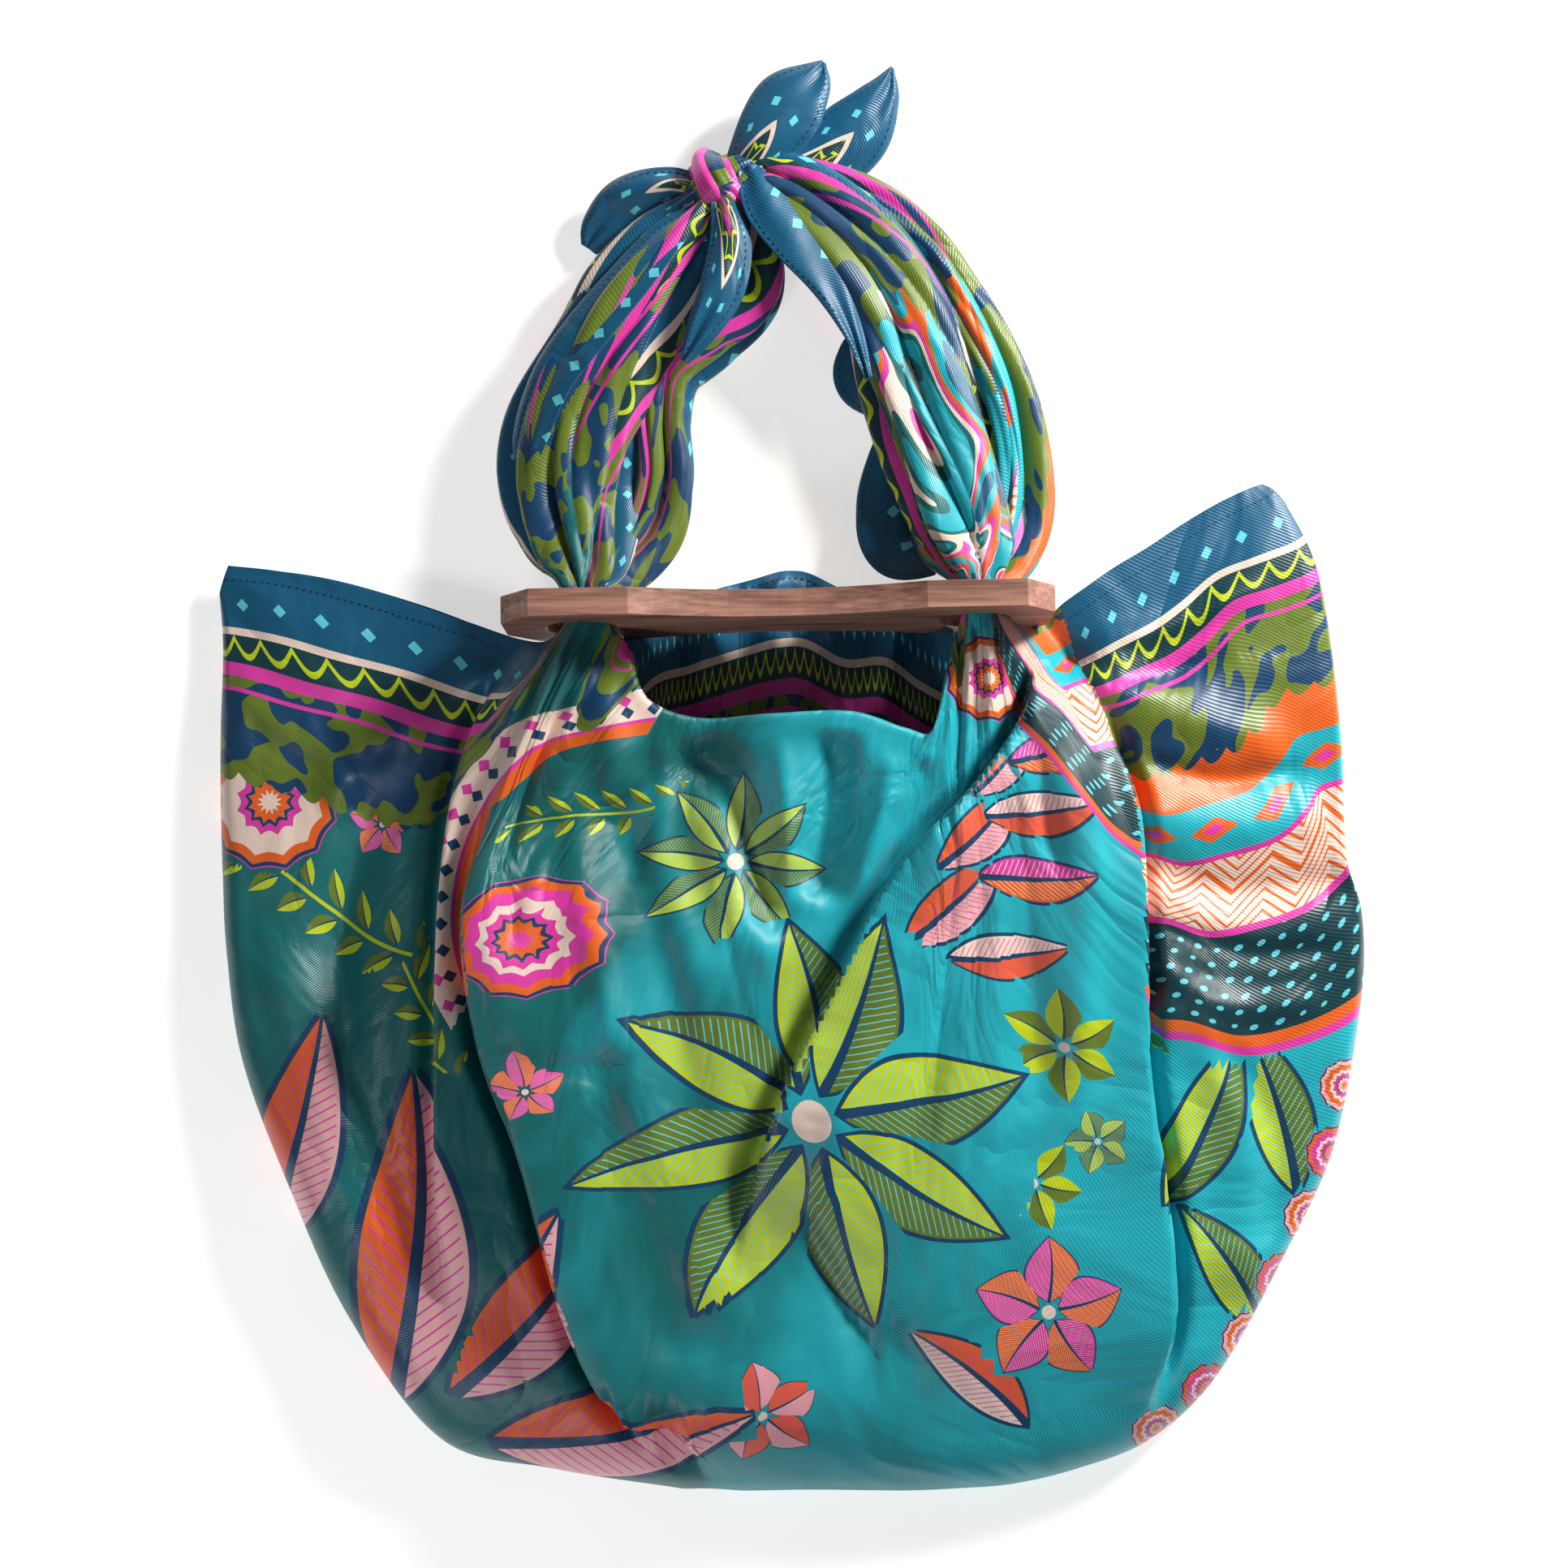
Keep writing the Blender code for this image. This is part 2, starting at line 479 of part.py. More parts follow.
def make_bar(collection, helpers):
    curve = bpy.data.curves.new("wood_bar_outline", "CURVE")
    curve.dimensions = "2D"
    curve.fill_mode = "BOTH"
    curve.extrude = BAR_THICK / 2 * MM
    outline = bar_outline()
    spline = curve.splines.new("POLY")
    spline.points.add(len(outline) - 1)
    for point, (x, y) in zip(spline.points, outline):
        point.co = (x * MM, y * MM, 0, 1)
    spline.use_cyclic_u = True
    flat = bpy.data.objects.new("wood_bar_flat", curve)
    collection.objects.link(flat)
    bpy.context.view_layer.update()
    mesh = bpy.data.meshes.new_from_object(flat.evaluated_get(bpy.context.evaluated_depsgraph_get()))
    bpy.data.objects.remove(flat)
    work = bmesh.new()
    work.from_mesh(mesh)
    bmesh.ops.remove_doubles(work, verts=work.verts, dist=0.01 * MM)
    work.to_mesh(mesh)
    work.free()
    bar = bpy.data.objects.new("wood_bar", mesh)
    collection.objects.link(bar)
    bar.location = Vector(BAR_CENTRE) * MM
    bar.rotation_euler = (math.radians(90 + BAR_TILT_DEG), 0, math.radians(BAR_TURN_DEG))
    soft = bar.modifiers.new("edges", "BEVEL")
    soft.width = BAR_EDGE_ROUND * MM
    soft.segments = 1
    soft.limit_method = "ANGLE"
    soft.angle_limit = math.radians(50)
    for side, name in ((-1, "hole_left"), (1, "hole_right")):
        deep = 3 * BAR_THICK * MM
        bpy.ops.mesh.primitive_cylinder_add(vertices=36, radius=BAR_HOLE_RADIUS * MM, depth=deep)
        hole = bpy.context.active_object
        hole.name = name
        for owner in list(hole.users_collection):
            owner.objects.unlink(hole)
        helpers.objects.link(hole)
        hole.parent = bar
        hole.location = (side * BAR_HOLE_OFFSET * MM, 0, 0)
        make_helper(hole)
        cut = bar.modifiers.new(name, "BOOLEAN")
        cut.operation = "DIFFERENCE"
        cut.solver = "EXACT"
        cut.object = hole
    return bar


def main():
    clear_scene()
    bag = new_collection("scarf_bag")
    helpers = new_collection("helpers")
    silk = new_material("silk_twill", SILK_TEAL, 0.42)
    walnut = new_material("oiled_walnut", WALNUT, 0.55)

    scarf = make_pouch(bag)
    sides = (("plug_left", -BAR_HOLE_OFFSET), ("plug_right", BAR_HOLE_OFFSET))
    pieces = [make_plug(name, along, helpers) for name, along in sides]
    pieces += [make_strand(strand, helpers) for strand in STRANDS]
    pieces.append(make_knot(helpers))
    pieces += [make_leaf(name, table, helpers) for name, table in TAILS.items()]
    join(scarf, pieces)
    scarf.data.materials.append(silk)

    bar = make_bar(bag, helpers)
    bar.data.materials.append(walnut)


main()
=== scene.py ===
# %% [markdown]
# # A scarf bag, dressed
# The real object is a square silk-twill scarf whose four corners pass through a wooden board and are tied
# above it. The solids of the frame give its size, its outline and its main folds. This script gives it the
# finish: fine folds, printed cloth, stitched hems and oiled wood.

import math
from collections import namedtuple

import bmesh
import bpy
import numpy as np
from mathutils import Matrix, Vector


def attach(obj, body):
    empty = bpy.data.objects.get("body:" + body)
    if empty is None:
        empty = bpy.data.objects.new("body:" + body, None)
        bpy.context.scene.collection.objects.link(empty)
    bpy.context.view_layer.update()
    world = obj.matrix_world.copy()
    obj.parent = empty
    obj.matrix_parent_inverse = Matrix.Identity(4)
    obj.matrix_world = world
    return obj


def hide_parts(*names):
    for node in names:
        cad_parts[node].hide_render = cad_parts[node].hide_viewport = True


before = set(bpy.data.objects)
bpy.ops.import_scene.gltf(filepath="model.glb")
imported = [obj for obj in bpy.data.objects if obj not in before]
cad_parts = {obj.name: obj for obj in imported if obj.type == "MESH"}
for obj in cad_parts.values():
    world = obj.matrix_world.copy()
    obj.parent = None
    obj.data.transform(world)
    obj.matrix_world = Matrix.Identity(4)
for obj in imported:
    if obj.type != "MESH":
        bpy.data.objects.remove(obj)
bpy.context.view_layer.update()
MM = 0.001

# %% [markdown]
# ## Camera, light and floor
# The bag lies on its back and is seen from straight above. The picture is square and about 0.695 m of the
# floor fills it. One soft lamp, low at the upper right like a window, gives the satin its broad highlights
# and the folds their shade, and weak light from all round keeps the shade readable. Colours are shown as
# they are, without a film curve, because dyed silk is vivid.

# %% Place the camera, the lamps and the floor
PICTURE_WIDTH = 0.6955
CAMERA_HEIGHT = 1.15
SENSOR = 36.0
PICTURE_PLANE = 0.02
PICTURE_CENTRE = (-0.0033, -0.0020)


def stand(name, data):
    """Puts a mesh, curve, lamp or camera into the scene as an object."""
    made = bpy.data.objects.new(name, data)
    bpy.context.scene.collection.objects.link(made)
    return made


view = bpy.data.cameras.new("camera")
view.sensor_width = SENSOR
view.lens = SENSOR * (CAMERA_HEIGHT - PICTURE_PLANE) / PICTURE_WIDTH
camera = stand("camera", view)
camera.location = (*PICTURE_CENTRE, CAMERA_HEIGHT)
bpy.context.scene.camera = camera
bpy.context.scene.view_settings.view_transform = "Standard"


def linear(hex_colour):
    """A screen colour such as #1A7F86 as linear RGBA."""
    parts = [int(hex_colour[i:i + 2], 16) / 255 for i in (1, 3, 5)]
    return tuple(p / 12.92 if p <= 0.04045 else ((p + 0.055) / 1.055) ** 2.4 for p in parts) + (1.0,)


def soft_lamp(name, place, size, watts, colour):
    lamp = bpy.data.lights.new(name, "AREA")
    lamp.shape = "SQUARE"
    lamp.size = size
    lamp.energy = watts
    lamp.color = linear(colour)[:3]
    made = stand(name, lamp)
    made.location = place
    made.rotation_euler = (-Vector(place)).to_track_quat("-Z", "Y").to_euler()


def material(name, **inputs):
    """A new material, and its shader with the named inputs set."""
    made = bpy.data.materials.new(name)
    made.use_nodes = True
    shader = made.node_tree.nodes["Principled BSDF"]
    for key, value in inputs.items():
        shader.inputs[key.replace("_", " ")].default_value = value
    return made, shader


soft_lamp("window", (0.86, 0.80, 0.56), 0.26, 27.0, "#FFFDF8")
soft_lamp("room", (-0.60, -0.80, 0.80), 0.40, 4.0, "#F8FAFF")

world = bpy.data.worlds.new("studio")
world.use_nodes = True
sky = world.node_tree.nodes["Background"]
sky.inputs["Color"].default_value = (0.97, 0.98, 1.0, 1.0)
sky.inputs["Strength"].default_value = 0.12
bpy.context.scene.world = world

floor_mesh = bpy.data.meshes.new("floor")
work = bmesh.new()
bmesh.ops.create_grid(work, x_segments=1, y_segments=1, size=3.0)
work.to_mesh(floor_mesh)
work.free()
floor = stand("floor", floor_mesh)
floor.location.z = -0.0005
PAPER = linear("#F7F7F5")
paper, _ = material("pale_paper", Base_Color=PAPER, Roughness=0.95, Emission_Color=PAPER,
                    Emission_Strength=0.60)
floor.data.materials.append(paper)

# %% [markdown]
# ## Small tools
# `add` puts one node in a tree. `spread` draws a smooth line through a table's rows. `sheet_mesh` makes a
# grid of points into cloth. Each corner of each face also carries its place on the scarf before it was tied
# (the UV map `flat`, in metres), and which motif of the print it lies in (the UV map `motif`, from -1 to 1
# across the motif, with its kind and colours in `motif_key` and `motif_form`). A motif is then drawn once
# by the material, however often it is used. A `Value` is what a node gives. A sum, product or comparison of
# Values is written with its usual sign, and `add` puts in the Math node for it.

# %% Define the node, curve and sheet helpers
def add(tree, kind, *values, **links):
    """Adds a node and gives its Value. kind is its type and its settings, as in "Mix data_type=RGBA". values
    go to its inputs in order, and links to the inputs that they name."""
    name, *settings = kind.split()
    node = tree.nodes.new(name if "Node" in name else "ShaderNode" + name)
    for setting in settings:
        setattr(node, *setting.split("="))
    inputs = list(zip([socket for socket in node.inputs if socket.enabled], values))
    inputs += [(node.inputs[key.replace("_", " ")], value) for key, value in links.items()]
    for socket, value in inputs:
        if isinstance(value, Value):
            tree.links.new(value.socket, socket)
        else:
            socket.default_value = value
    return Value(node)


class Value:
    """What a node gives: its first output, or another by its name or number in square brackets."""

    def __init__(self, node, output=None):
        self.node = node
        self.tree = node.id_data
        live = [socket for socket in node.outputs if socket.enabled]
        self.socket = node.outputs[output] if output is not None else live[0] if live else None

    def __getitem__(self, output):
        return Value(self.node, output)

    def __abs__(self):
        return add(self.tree, "Math operation=ABSOLUTE", self)


# A sign between two Values, or a Value and a number, adds the Math node for it.
for sign, operation in (("add", "ADD"), ("sub", "SUBTRACT"), ("mul", "MULTIPLY"), ("truediv", "DIVIDE"),
                        ("lt", "LESS_THAN"), ("gt", "GREATER_THAN")):
    kind = "Math operation=" + operation
    setattr(Value, f"__{sign}__", lambda one, two, kind=kind: add(one.tree, kind, one, two))
    setattr(Value, f"__r{sign}__", lambda one, two, kind=kind: add(one.tree, kind, two, one))


def rows_of(text):
    """Rows of numbers, parted by semicolons."""
    return [[float(number) for number in row.split()] for row in text.split(";")]


def table(text):
    return np.array(rows_of(text))


def ease(t):
    t = np.clip(t, 0.0, 1.0)
    return t * t * (3 - 2 * t)


def spread(rows, at):
    """The smooth values of a table's rows at fractional row numbers."""
    rows = np.asarray(rows, float)
    at = np.atleast_1d(np.asarray(at, float))
    i = np.clip(at.astype(int), 0, len(rows) - 2)
    t = (at - i)[:, None]
    a, b, c, d = (rows[np.clip(i + k, 0, len(rows) - 1)] for k in (-1, 0, 1, 2))
    return 0.5 * (2 * b + (c - a) * t + (2 * a - 5 * b + 4 * c - d) * t**2 + (3 * b - a - 3 * c + d) * t**3)


def face_corners(rows, across):
    """The row and column of each face's four corners on a grid of points."""
    r, c = np.meshgrid(np.arange(rows - 1), np.arange(across - 1), indexing="ij")
    r, c = r.ravel(), c.ravel()
    return np.stack([r, r, r + 1, r + 1], 1), np.stack([c, c + 1, c + 1, c], 1)


Motif = namedtuple("Motif", "kind tone x y half turn")
# For each kind of motif: its number, how many petals it turns into (0 for one leaf), how wide a petal is,
# how far it reaches sideways, and the radius inside which a ring is open.
Form = namedtuple("Form", "number sectors width reach open")
FORMS = {
    "leaf": Form(1, 0, 0.33, 0.50, 0), "rosette": Form(2, 8, 0.42, 1.0, 0), "blossom": Form(3, 5, 0.80, 1.0, 0),
    "fan": Form(4, 0, 0.5, 1.0, 0), "sprig": Form(5, 0, 0.42, 0.5, 0), "berries": Form(6, 6, 0.62, 1.0, 0),
    "ring": Form(7, 0, 0.5, 1.0, 0.74),
}
CLOTH = 0.45


def sheet_mesh(name, points, flat, places, motifs=(), ring=False, thickness=CLOTH):
    """A sheet from a grid of points in millimetres. flat and places are grids too, or given for each corner."""
    rows, across = points.shape[:2]
    turn = across - 1 if ring else across
    r, c = face_corners(rows, across)
    mesh = bpy.data.meshes.new(name)
    mesh.from_pydata((points[:, :turn].reshape(-1, 3) * MM).tolist(), [], (r * turn + c % turn).tolist())
    flat = flat[r, c] if len(flat) == rows else flat
    places = places[r, c] if len(places) == rows else places
    key = np.zeros((len(r), 3))
    form = np.zeros((len(r), 3))
    local = np.full((len(r), 4, 2), 9.0)
    free = np.ones(len(r), bool)
    centre = places.mean(axis=1)
    for motif in motifs:
        shape = FORMS[motif.kind]
        cos, sin = math.cos(math.radians(motif.turn)), math.sin(math.radians(motif.turn))
        turned = np.array([[cos, -sin], [sin, cos]]) / motif.half
        near = (centre - (motif.x, motif.y)) @ turned
        far = np.hypot(near[:, 0] / shape.reach, near[:, 1])
        inside = free & (far < 1) & (far >= shape.open) & ((shape.open == 0) | (near[:, 1] > 0.5))
        local[inside] = (places[inside] - (motif.x, motif.y)) @ turned
        key[inside] = (shape.number, motif.tone, shape.sectors)
        form[inside] = (shape.width, motif.half, 0)
        free &= ~inside
    for label, values in (("flat", flat), ("motif", local)):
        layer = mesh.uv_layers.new(name=label)
        layer.data.foreach_set("uv", values.astype(np.float32).ravel())
    for label, values in (("motif_key", key), ("motif_form", form)):
        layer = mesh.attributes.new(label, "FLOAT_VECTOR", "CORNER")
        layer.data.foreach_set("vector", np.repeat(values, 4, axis=0).astype(np.float32).ravel())
    mesh.polygons.foreach_set("use_smooth", np.ones(len(mesh.polygons), bool))
    made = stand(name, mesh)
    shell = made.modifiers.new("thickness", "SOLIDIFY")
    shell.thickness = thickness * MM
    shell.offset = 0.0
    return made


# %% [markdown]
# ## The pouch
# Below the board the scarf is one sheet, doubled over: a front layer with the folds, a round rim, and a
# back layer that lies on the floor. The table repeats the stations that the frame's solid was made from,
# one for each strip of cloth along the upper edges, and the same fold lines raise or sink the front. The
# grid is much finer here, so that smaller folds and creases can be added to the same shape.

# %% Repeat the pouch's stations and folds
Station = namedtuple("Station", """front_x front_y front_z mid_x mid_y rim_x rim_y
                                   back_x back_y back_z belly bend lip curl""")
STATIONS = table("""
    -253 94 8.5 -255 88 -256.5 82 -253 94 0.8 8.5 4 1 0;
    -232 92 9 -245 75 -255 58 -232 94 0.8 11 9 1 0;
    -207 87 10 -234 54 -256 22 -206 90 0.8 13 11 1 0;
    -178 79 12 -220 34 -256 -7 -177 82 0.8 15 12 1 0;
    -149 70 15 -205 12 -255 -43 -148 72 0.8 17 14 1 0;
    -122 61 15.5 -192 -12 -253 -79 -121 60 2.5 20 16 1 0;
    -108 60 26 -184 -38 -246 -126 -108 57 11 22 20 1 0;
    -100 66 36.5 -174 -64 -226 -180 -100 65 31 25 26 3 0;
    -95 69 41 -163 -92 -198 -241 -95 68 27 28 34 3 0;
    -90 70 43 -152 -108 -156 -296 -90 69 25 31 40 3 0;
    -85 69 41 -141 -112 -106 -309 -85 68 27 34 44 3 0;
    -82 62 38 -127 -112 -54 -317 -82 61 30 37 46 3 0;
    -72 50 42 -112 -112 -46 -318 -74 64 10 40 48 4 60;
    -64 33 43 -95 -115 -39 -318 -62 76 0.8 40 48 8 150;
    -41 25 40 -73 -118 -31 -318.5 -45 81 0.8 38 48 11 180;
    -9 27 42 -47 -118 -22 -319 -22 89 0.8 40 48 12 180;
    25 28 41 -20 -114 -12 -319 4 94 0.8 40 48 11 180;
    48 21 39 4 -106 -1 -319 26 84 0.8 40 48 9 175;
    60 19 41 30 -99 10 -319 45 84 0.8 40 48 5 130;
    67 40 41 54 -94 22 -319 61 73 3.5 40 48 3 40;
    74 65 38 64 -90 37 -319 72 66 30 40 48 3 0;
    77 70 42 71 -89 54 -319 76 69 27 40 48 3 0;
    81 72 44 82 -91 74 -318 81 71 25 39 46 3 0;
    86 71 42 97 -95 99 -316 86 70 27 36 44 3 0;
    91 68 37 120 -101 128 -309 91 67 31 32 38 3 0;
    103 66 26 153 -104 160 -296 103 63 10 28 32 1 0;
    113 68 13 172 -90 190 -268 112 66 2 24 26 1 0;
    121 76 16 186 -72 220 -215 121 75 0.8 21 22 1 0;
    132 84 17 198 -46 243 -165 132 84 0.8 19 18 1 0;
    145 93 15 207 -12 255.3 -100 145 94 0.8 17 15 1 0;
    160 102 13 212 16 256 -62 160 104 0.8 15 13 1 0;
    175 112 11 216 40 249 -36 175 114 0.8 14 11 1 0;
    190 121 10 221 72 246 25 190 123 0.8 13 10 1 0;
    204 128 9 223 108 237 90 204 130 0.8 11 8 1 0;
    213 131.5 8.5 218 128 223 121 213 132 0.8 8.5 4 1 0""")
# A ridge or crease is raised on both sides of its path. A step is raised on the left of its path and drops
# within edge millimetres. The cloth overhangs the drop by tuck. The step swallows some of the print: hidden
# is how much the motifs skip there, and bands how much the border's bands do. In each row the path's points
# follow, x and y in turn. Folds fade in and out over the first and last shares of their paths.
Fold = namedtuple("Fold", "height wide edge tuck hidden bands path")
Crease = namedtuple("Crease", "height wide path")
FADE_IN, FADE_OUT = 0.16, 0.2


def creases(text):
    return [Crease(*row[:2], np.reshape(row[2:], (-1, 2))) for row in rows_of(text)]


STEPS = [Fold(*row[:6], np.reshape(row[6:], (-1, 2))) for row in rows_of("""
    10 34 2.2 3.5 12 0  -119 56 -142 14 -152 -44 -154 -110 -154 -180 -150 -236;
    16 60 2.0 6 26 20  -126 -4 -138 -56 -131 -118 -114 -162 -94 -236 -70 -276 -42 -288 -38 -306;
    17 46 2.0 6.5 32 0  108 54 106 30 84 -2 48 -42 22 -92 -4 -146 -26 -214;
    15 46 2.0 6 0 110  156 -280 164 -232 160 -178 153 -130 151 -60 147 -8 132 40""")]
RIDGES = creases("""
    -13 11  -44 22 -30 -4 -18 -34 -6 -74; -12 10  19 24 16 -14 10 -56;
    7 12  -84 64 -102 36 -122 4 -131 -50 -124 -108; 7 10  -72 42 -84 6 -108 -20 -128 -62;
    -6 16  -132 40 -176 -10 -214 -96; 5 13  -128 52 -168 26 -210 -12; -3 6  -132 -122 -100 -126 -66 -124;
    -3 5  4 -190 24 -232 46 -272; 5 12  126 58 168 30 226 14; -5 8  152 -36 196 -50 252 -44;
    4 11  150 -14 198 -22 240 -14; 5 15  176 -90 200 -160 196 -230""")
print(len(STATIONS), "stations and", len(STEPS) + len(RIDGES), "folds")

# %% [markdown]
# The solid has no room for the fine creases of ironed silk and the small pleats by the board, so they are
# added here, each a few millimetres wide and at most a few millimetres deep.

# %% Add the fine folds and creases
FRONT_CREASES = creases("""
    4.5 8.0  86 4 44 -80 6 -190; -4.5 8.0  100 4 74 -80 40 -190; 4.5 9.0  -98 4 -84 -80 -52 -190;
    -4.5 9.0  -84 0 -58 -70 -40 -160; -5.0 9.0  -52 14 -46 -30 -30 -84; 4.5 8.0  -34 16 -26 -30 -6 -90;
    3.0 9.0  -70 -250 -20 -270 60 -300; -2.5 7.0  20 -230 70 -262 120 -290;
    4.0 9.0  118 20 128 -60 124 -160; -3.5 8.0  -176 40 -200 -60 -196 -150;
    -6.0 5.0  -78 10 -96 -14 -114 -34 -124 -80; -5.0 4.0  -94 40 -112 8 -122 -30 -122 -70;
    3.4 6.0  -112 44 -148 12 -186 -52; -3.4 5.0  -106 40 -136 -10 -148 -60;
    1.6 6.0  -240 62 -200 40 -160 42; -2.0 5.0  -246 26 -210 6 -170 16; -1.6 4.0  -214 30 -196 4 -186 -30;
    3.0 11.0  -236 -60 -206 -150 -176 -230; -3.2 9.0  -204 -60 -188 -140 -160 -220;
    -1.3 1.6  4 -188 28 -232 48 -276; 1.2 3.0  8 -190 32 -232 52 -276; -1.2 1.6  -30 -30 -26 -80 -10 -130;
    -1.4 1.8  -132 -118 -96 -125 -58 -122; 1.2 3.0  -132 -122 -96 -129 -58 -126;
    2.2 12.0  -60 -180 -20 -240 40 -300; -2.4 12.0  -30 -150 10 -220 90 -290;
    3.0 12.0  110 -40 120 -130 96 -220; -3.0 10.0  92 0 100 -70 112 -150; 3.5 7.0  104 40 126 4 136 -60;
    -4.0 5.0  96 50 106 10 116 -50; -4.0 5.0  118 58 150 46 200 54; 3.2 5.0  122 68 160 66 214 90;
    -3.0 4.0  156 -60 200 -76 246 -74; 3.4 5.0  158 -80 196 -100 236 -96; -4.0 5.0  150 10 190 0 236 6;
    2.6 8.0  164 -120 176 -190 168 -250; -3.4 7.0  186 -110 214 -160 206 -216;
    2.6 4.0  -6 22 -2 -20 -6 -66; 3.0 5.0  44 14 38 -20 26 -60; -4.0 5.0  60 10 50 -16 36 -46;
    3.2 5.0  -56 22 -56 -16 -70 -60; -3.0 5.0  84 40 70 6 44 -30""")
BACK_CREASES = creases("""
    9 7  -30 96 -40 60 -34 20; 7 6  24 96 8 56 -6 16; 11 8  52 96 40 50 16 20; 6 5  -2 100 -10 66 -14 30""")
FLOOR_LAYER = 0.8
RIM_HEIGHT = 4.8
LEAST_FRONT = 7.5
LIP_RADIUS = 2.2
NECK_STATIONS = (9.0, 22.0)
COLUMNS = 505
FRONT_ROWS = 74
SHOULDER_ROWS = 6
LIP_ROWS = 6
TURN_ROWS = 4
BACK_ROWS = 13


def along_path(path, x, y, samples=36):
    """The signed distance of places from a smooth path, how far along it they are, and the way across it."""
    line = spread(path, np.linspace(0, len(path) - 1, samples + 1))
    best = np.full(x.shape, 1e9)
    side, along, over_x, over_y = (np.zeros_like(x) for _ in range(4))
    for k in range(samples):
        sx, sy = line[k + 1] - line[k]
        size = math.hypot(sx, sy)
        wx, wy = x - line[k][0], y - line[k][1]
        t = np.clip((wx * sx + wy * sy) / size**2, 0, 1)
        ax, ay = wx - t * sx, wy - t * sy
        far = ax * ax + ay * ay
        nearer = far < best
        best = np.where(nearer, far, best)
        side = np.where(nearer, np.sign(sx * ay - sy * ax) * np.sqrt(far), side)
        along = np.where(nearer, (k + t) / samples, along)
        over_x = np.where(nearer, -sy / size, over_x)
        over_y = np.where(nearer, sx / size, over_y)
    return side, along, over_x, over_y


def crease_height(rows, x, y, start=0.2, end=0.25):
    """The height that creases add. Each fades in and out over those shares of its path."""
    total = np.zeros_like(x)
    for crease in rows:
        side, along, _, _ = along_path(crease.path, x, y)
        taper = ease(along / start) * ease((1 - along) / end)
        total += crease.height * taper * np.exp(-((side / crease.wide) ** 2))
    return total


def fold_shape(x, y):
    """What the main folds do to the front: its height, and how far the cloth moves over each drop."""
    height = crease_height(RIDGES, x, y, FADE_IN, FADE_OUT)
    move_x, move_y = np.zeros_like(x), np.zeros_like(x)
    for fold in STEPS:
        side, along, over_x, over_y = along_path(fold.path, x, y)
        taper = ease(along / FADE_IN) * ease((1 - along) / FADE_OUT)
        rise = ease(0.5 + side / (2 * fold.edge))
        height += fold.height * taper * rise * np.exp(-np.maximum(side, 0) / fold.wide)
        height -= 0.85 * fold.height * taper * np.exp(-(((side + 5.5) / 4.2) ** 2))
        pull = fold.tuck * taper * np.exp(-(((side - 2.5) / 6) ** 2))
        pull -= 0.5 * fold.tuck * taper * np.exp(-(((side + 4) / 4) ** 2))
        move_x -= pull * over_x
        move_y -= pull * over_y
    return height, move_x, move_y


def swallowed_print(x, y, r, c):
    """What the motifs and the bands skip at the steps, for each corner of each face. A face is on one side."""
    motifs, bands = np.zeros(r.shape + (2,)), np.zeros(r.shape)
    for fold in STEPS:
        side, along, over_x, over_y = along_path(fold.path, x, y)
        amount = fold.hidden * ease(along / FADE_IN) * ease((1 - along) / 0.5) * np.exp(-((side / 70) ** 2))
        raised = (side[r, c].mean(axis=1) > -2.5)[:, None]
        motifs[..., 0] += raised * (amount * over_x)[r, c]
        motifs[..., 1] += raised * (amount * over_y)[r, c]
        skip = fold.bands * np.sign(over_x) * ease(along / FADE_IN) * np.exp(-((side / 90) ** 2))
        bands += raised * skip[r, c]
    return motifs, bands


def softness(x, y):
    """The slow unevenness of cloth that was laid by hand."""
    waves = ((1.1, 0.021, 0.034, 0.4), (0.8, -0.045, 0.027, 2.1), (0.5, 0.071, -0.052, 1.2),
             (0.35, 0.023, 0.118, 4.0), (0.25, -0.142, 0.061, 0.9))
    return sum(size * np.sin(kx * x + ky * y + phase) for size, kx, ky, phase in waves)


def column_values(at):
    """The station table's values for each strip, as a record of column vectors."""
    return Station(*(spread(STATIONS, at).T[:, :, None]))


def front_layer(at, share):
    """Points of the front layer for strips at, and shares from the top edge to the rim."""
    row = column_values(at)
    bow = 4 * share * (1 - share)
    x = row.front_x + (row.rim_x - row.front_x) * share + bow * (row.mid_x - (row.front_x + row.rim_x) / 2)
    y = row.front_y + (row.rim_y - row.front_y) * share + bow * (row.mid_y - (row.front_y + row.rim_y) / 2)
    long = np.hypot(row.rim_x - row.front_x, row.rim_y - row.front_y)
    inland = ease(share * long / 30) * ease((1 - share) * long / 26)
    strip = at[:, None]
    near = sum(np.exp(-(((strip - middle) / 3.2) ** 2)) for middle in NECK_STATIONS)
    pleats = 7.0 * (np.abs(np.sin(math.pi * strip / 1.56)) - 0.6) * np.exp(-share / 0.26)
    pleats += 4.0 * (np.abs(np.sin(math.pi * strip / 0.83 + 3 * share)) - 0.6) * np.exp(-share / 0.14)
    height = row.front_z + (row.belly - row.front_z) * ease(share / 0.3)
    height = height + near * pleats * ease(share / 0.05)
    folds, move_x, move_y = fold_shape(x, y)
    height = height + (folds + crease_height(FRONT_CREASES, x, y) + softness(x, y)) * inland
    height = np.maximum(height, LEAST_FRONT)
    shoulder = np.maximum(0.0, 1 - (1 - share) * long / np.maximum(row.bend, 2))
    z = RIM_HEIGHT + (height - RIM_HEIGHT) * np.sqrt(np.maximum(0.0, 1 - shoulder**2))
    return np.stack([x + move_x * inland, y + move_y * inland, z], axis=-1)


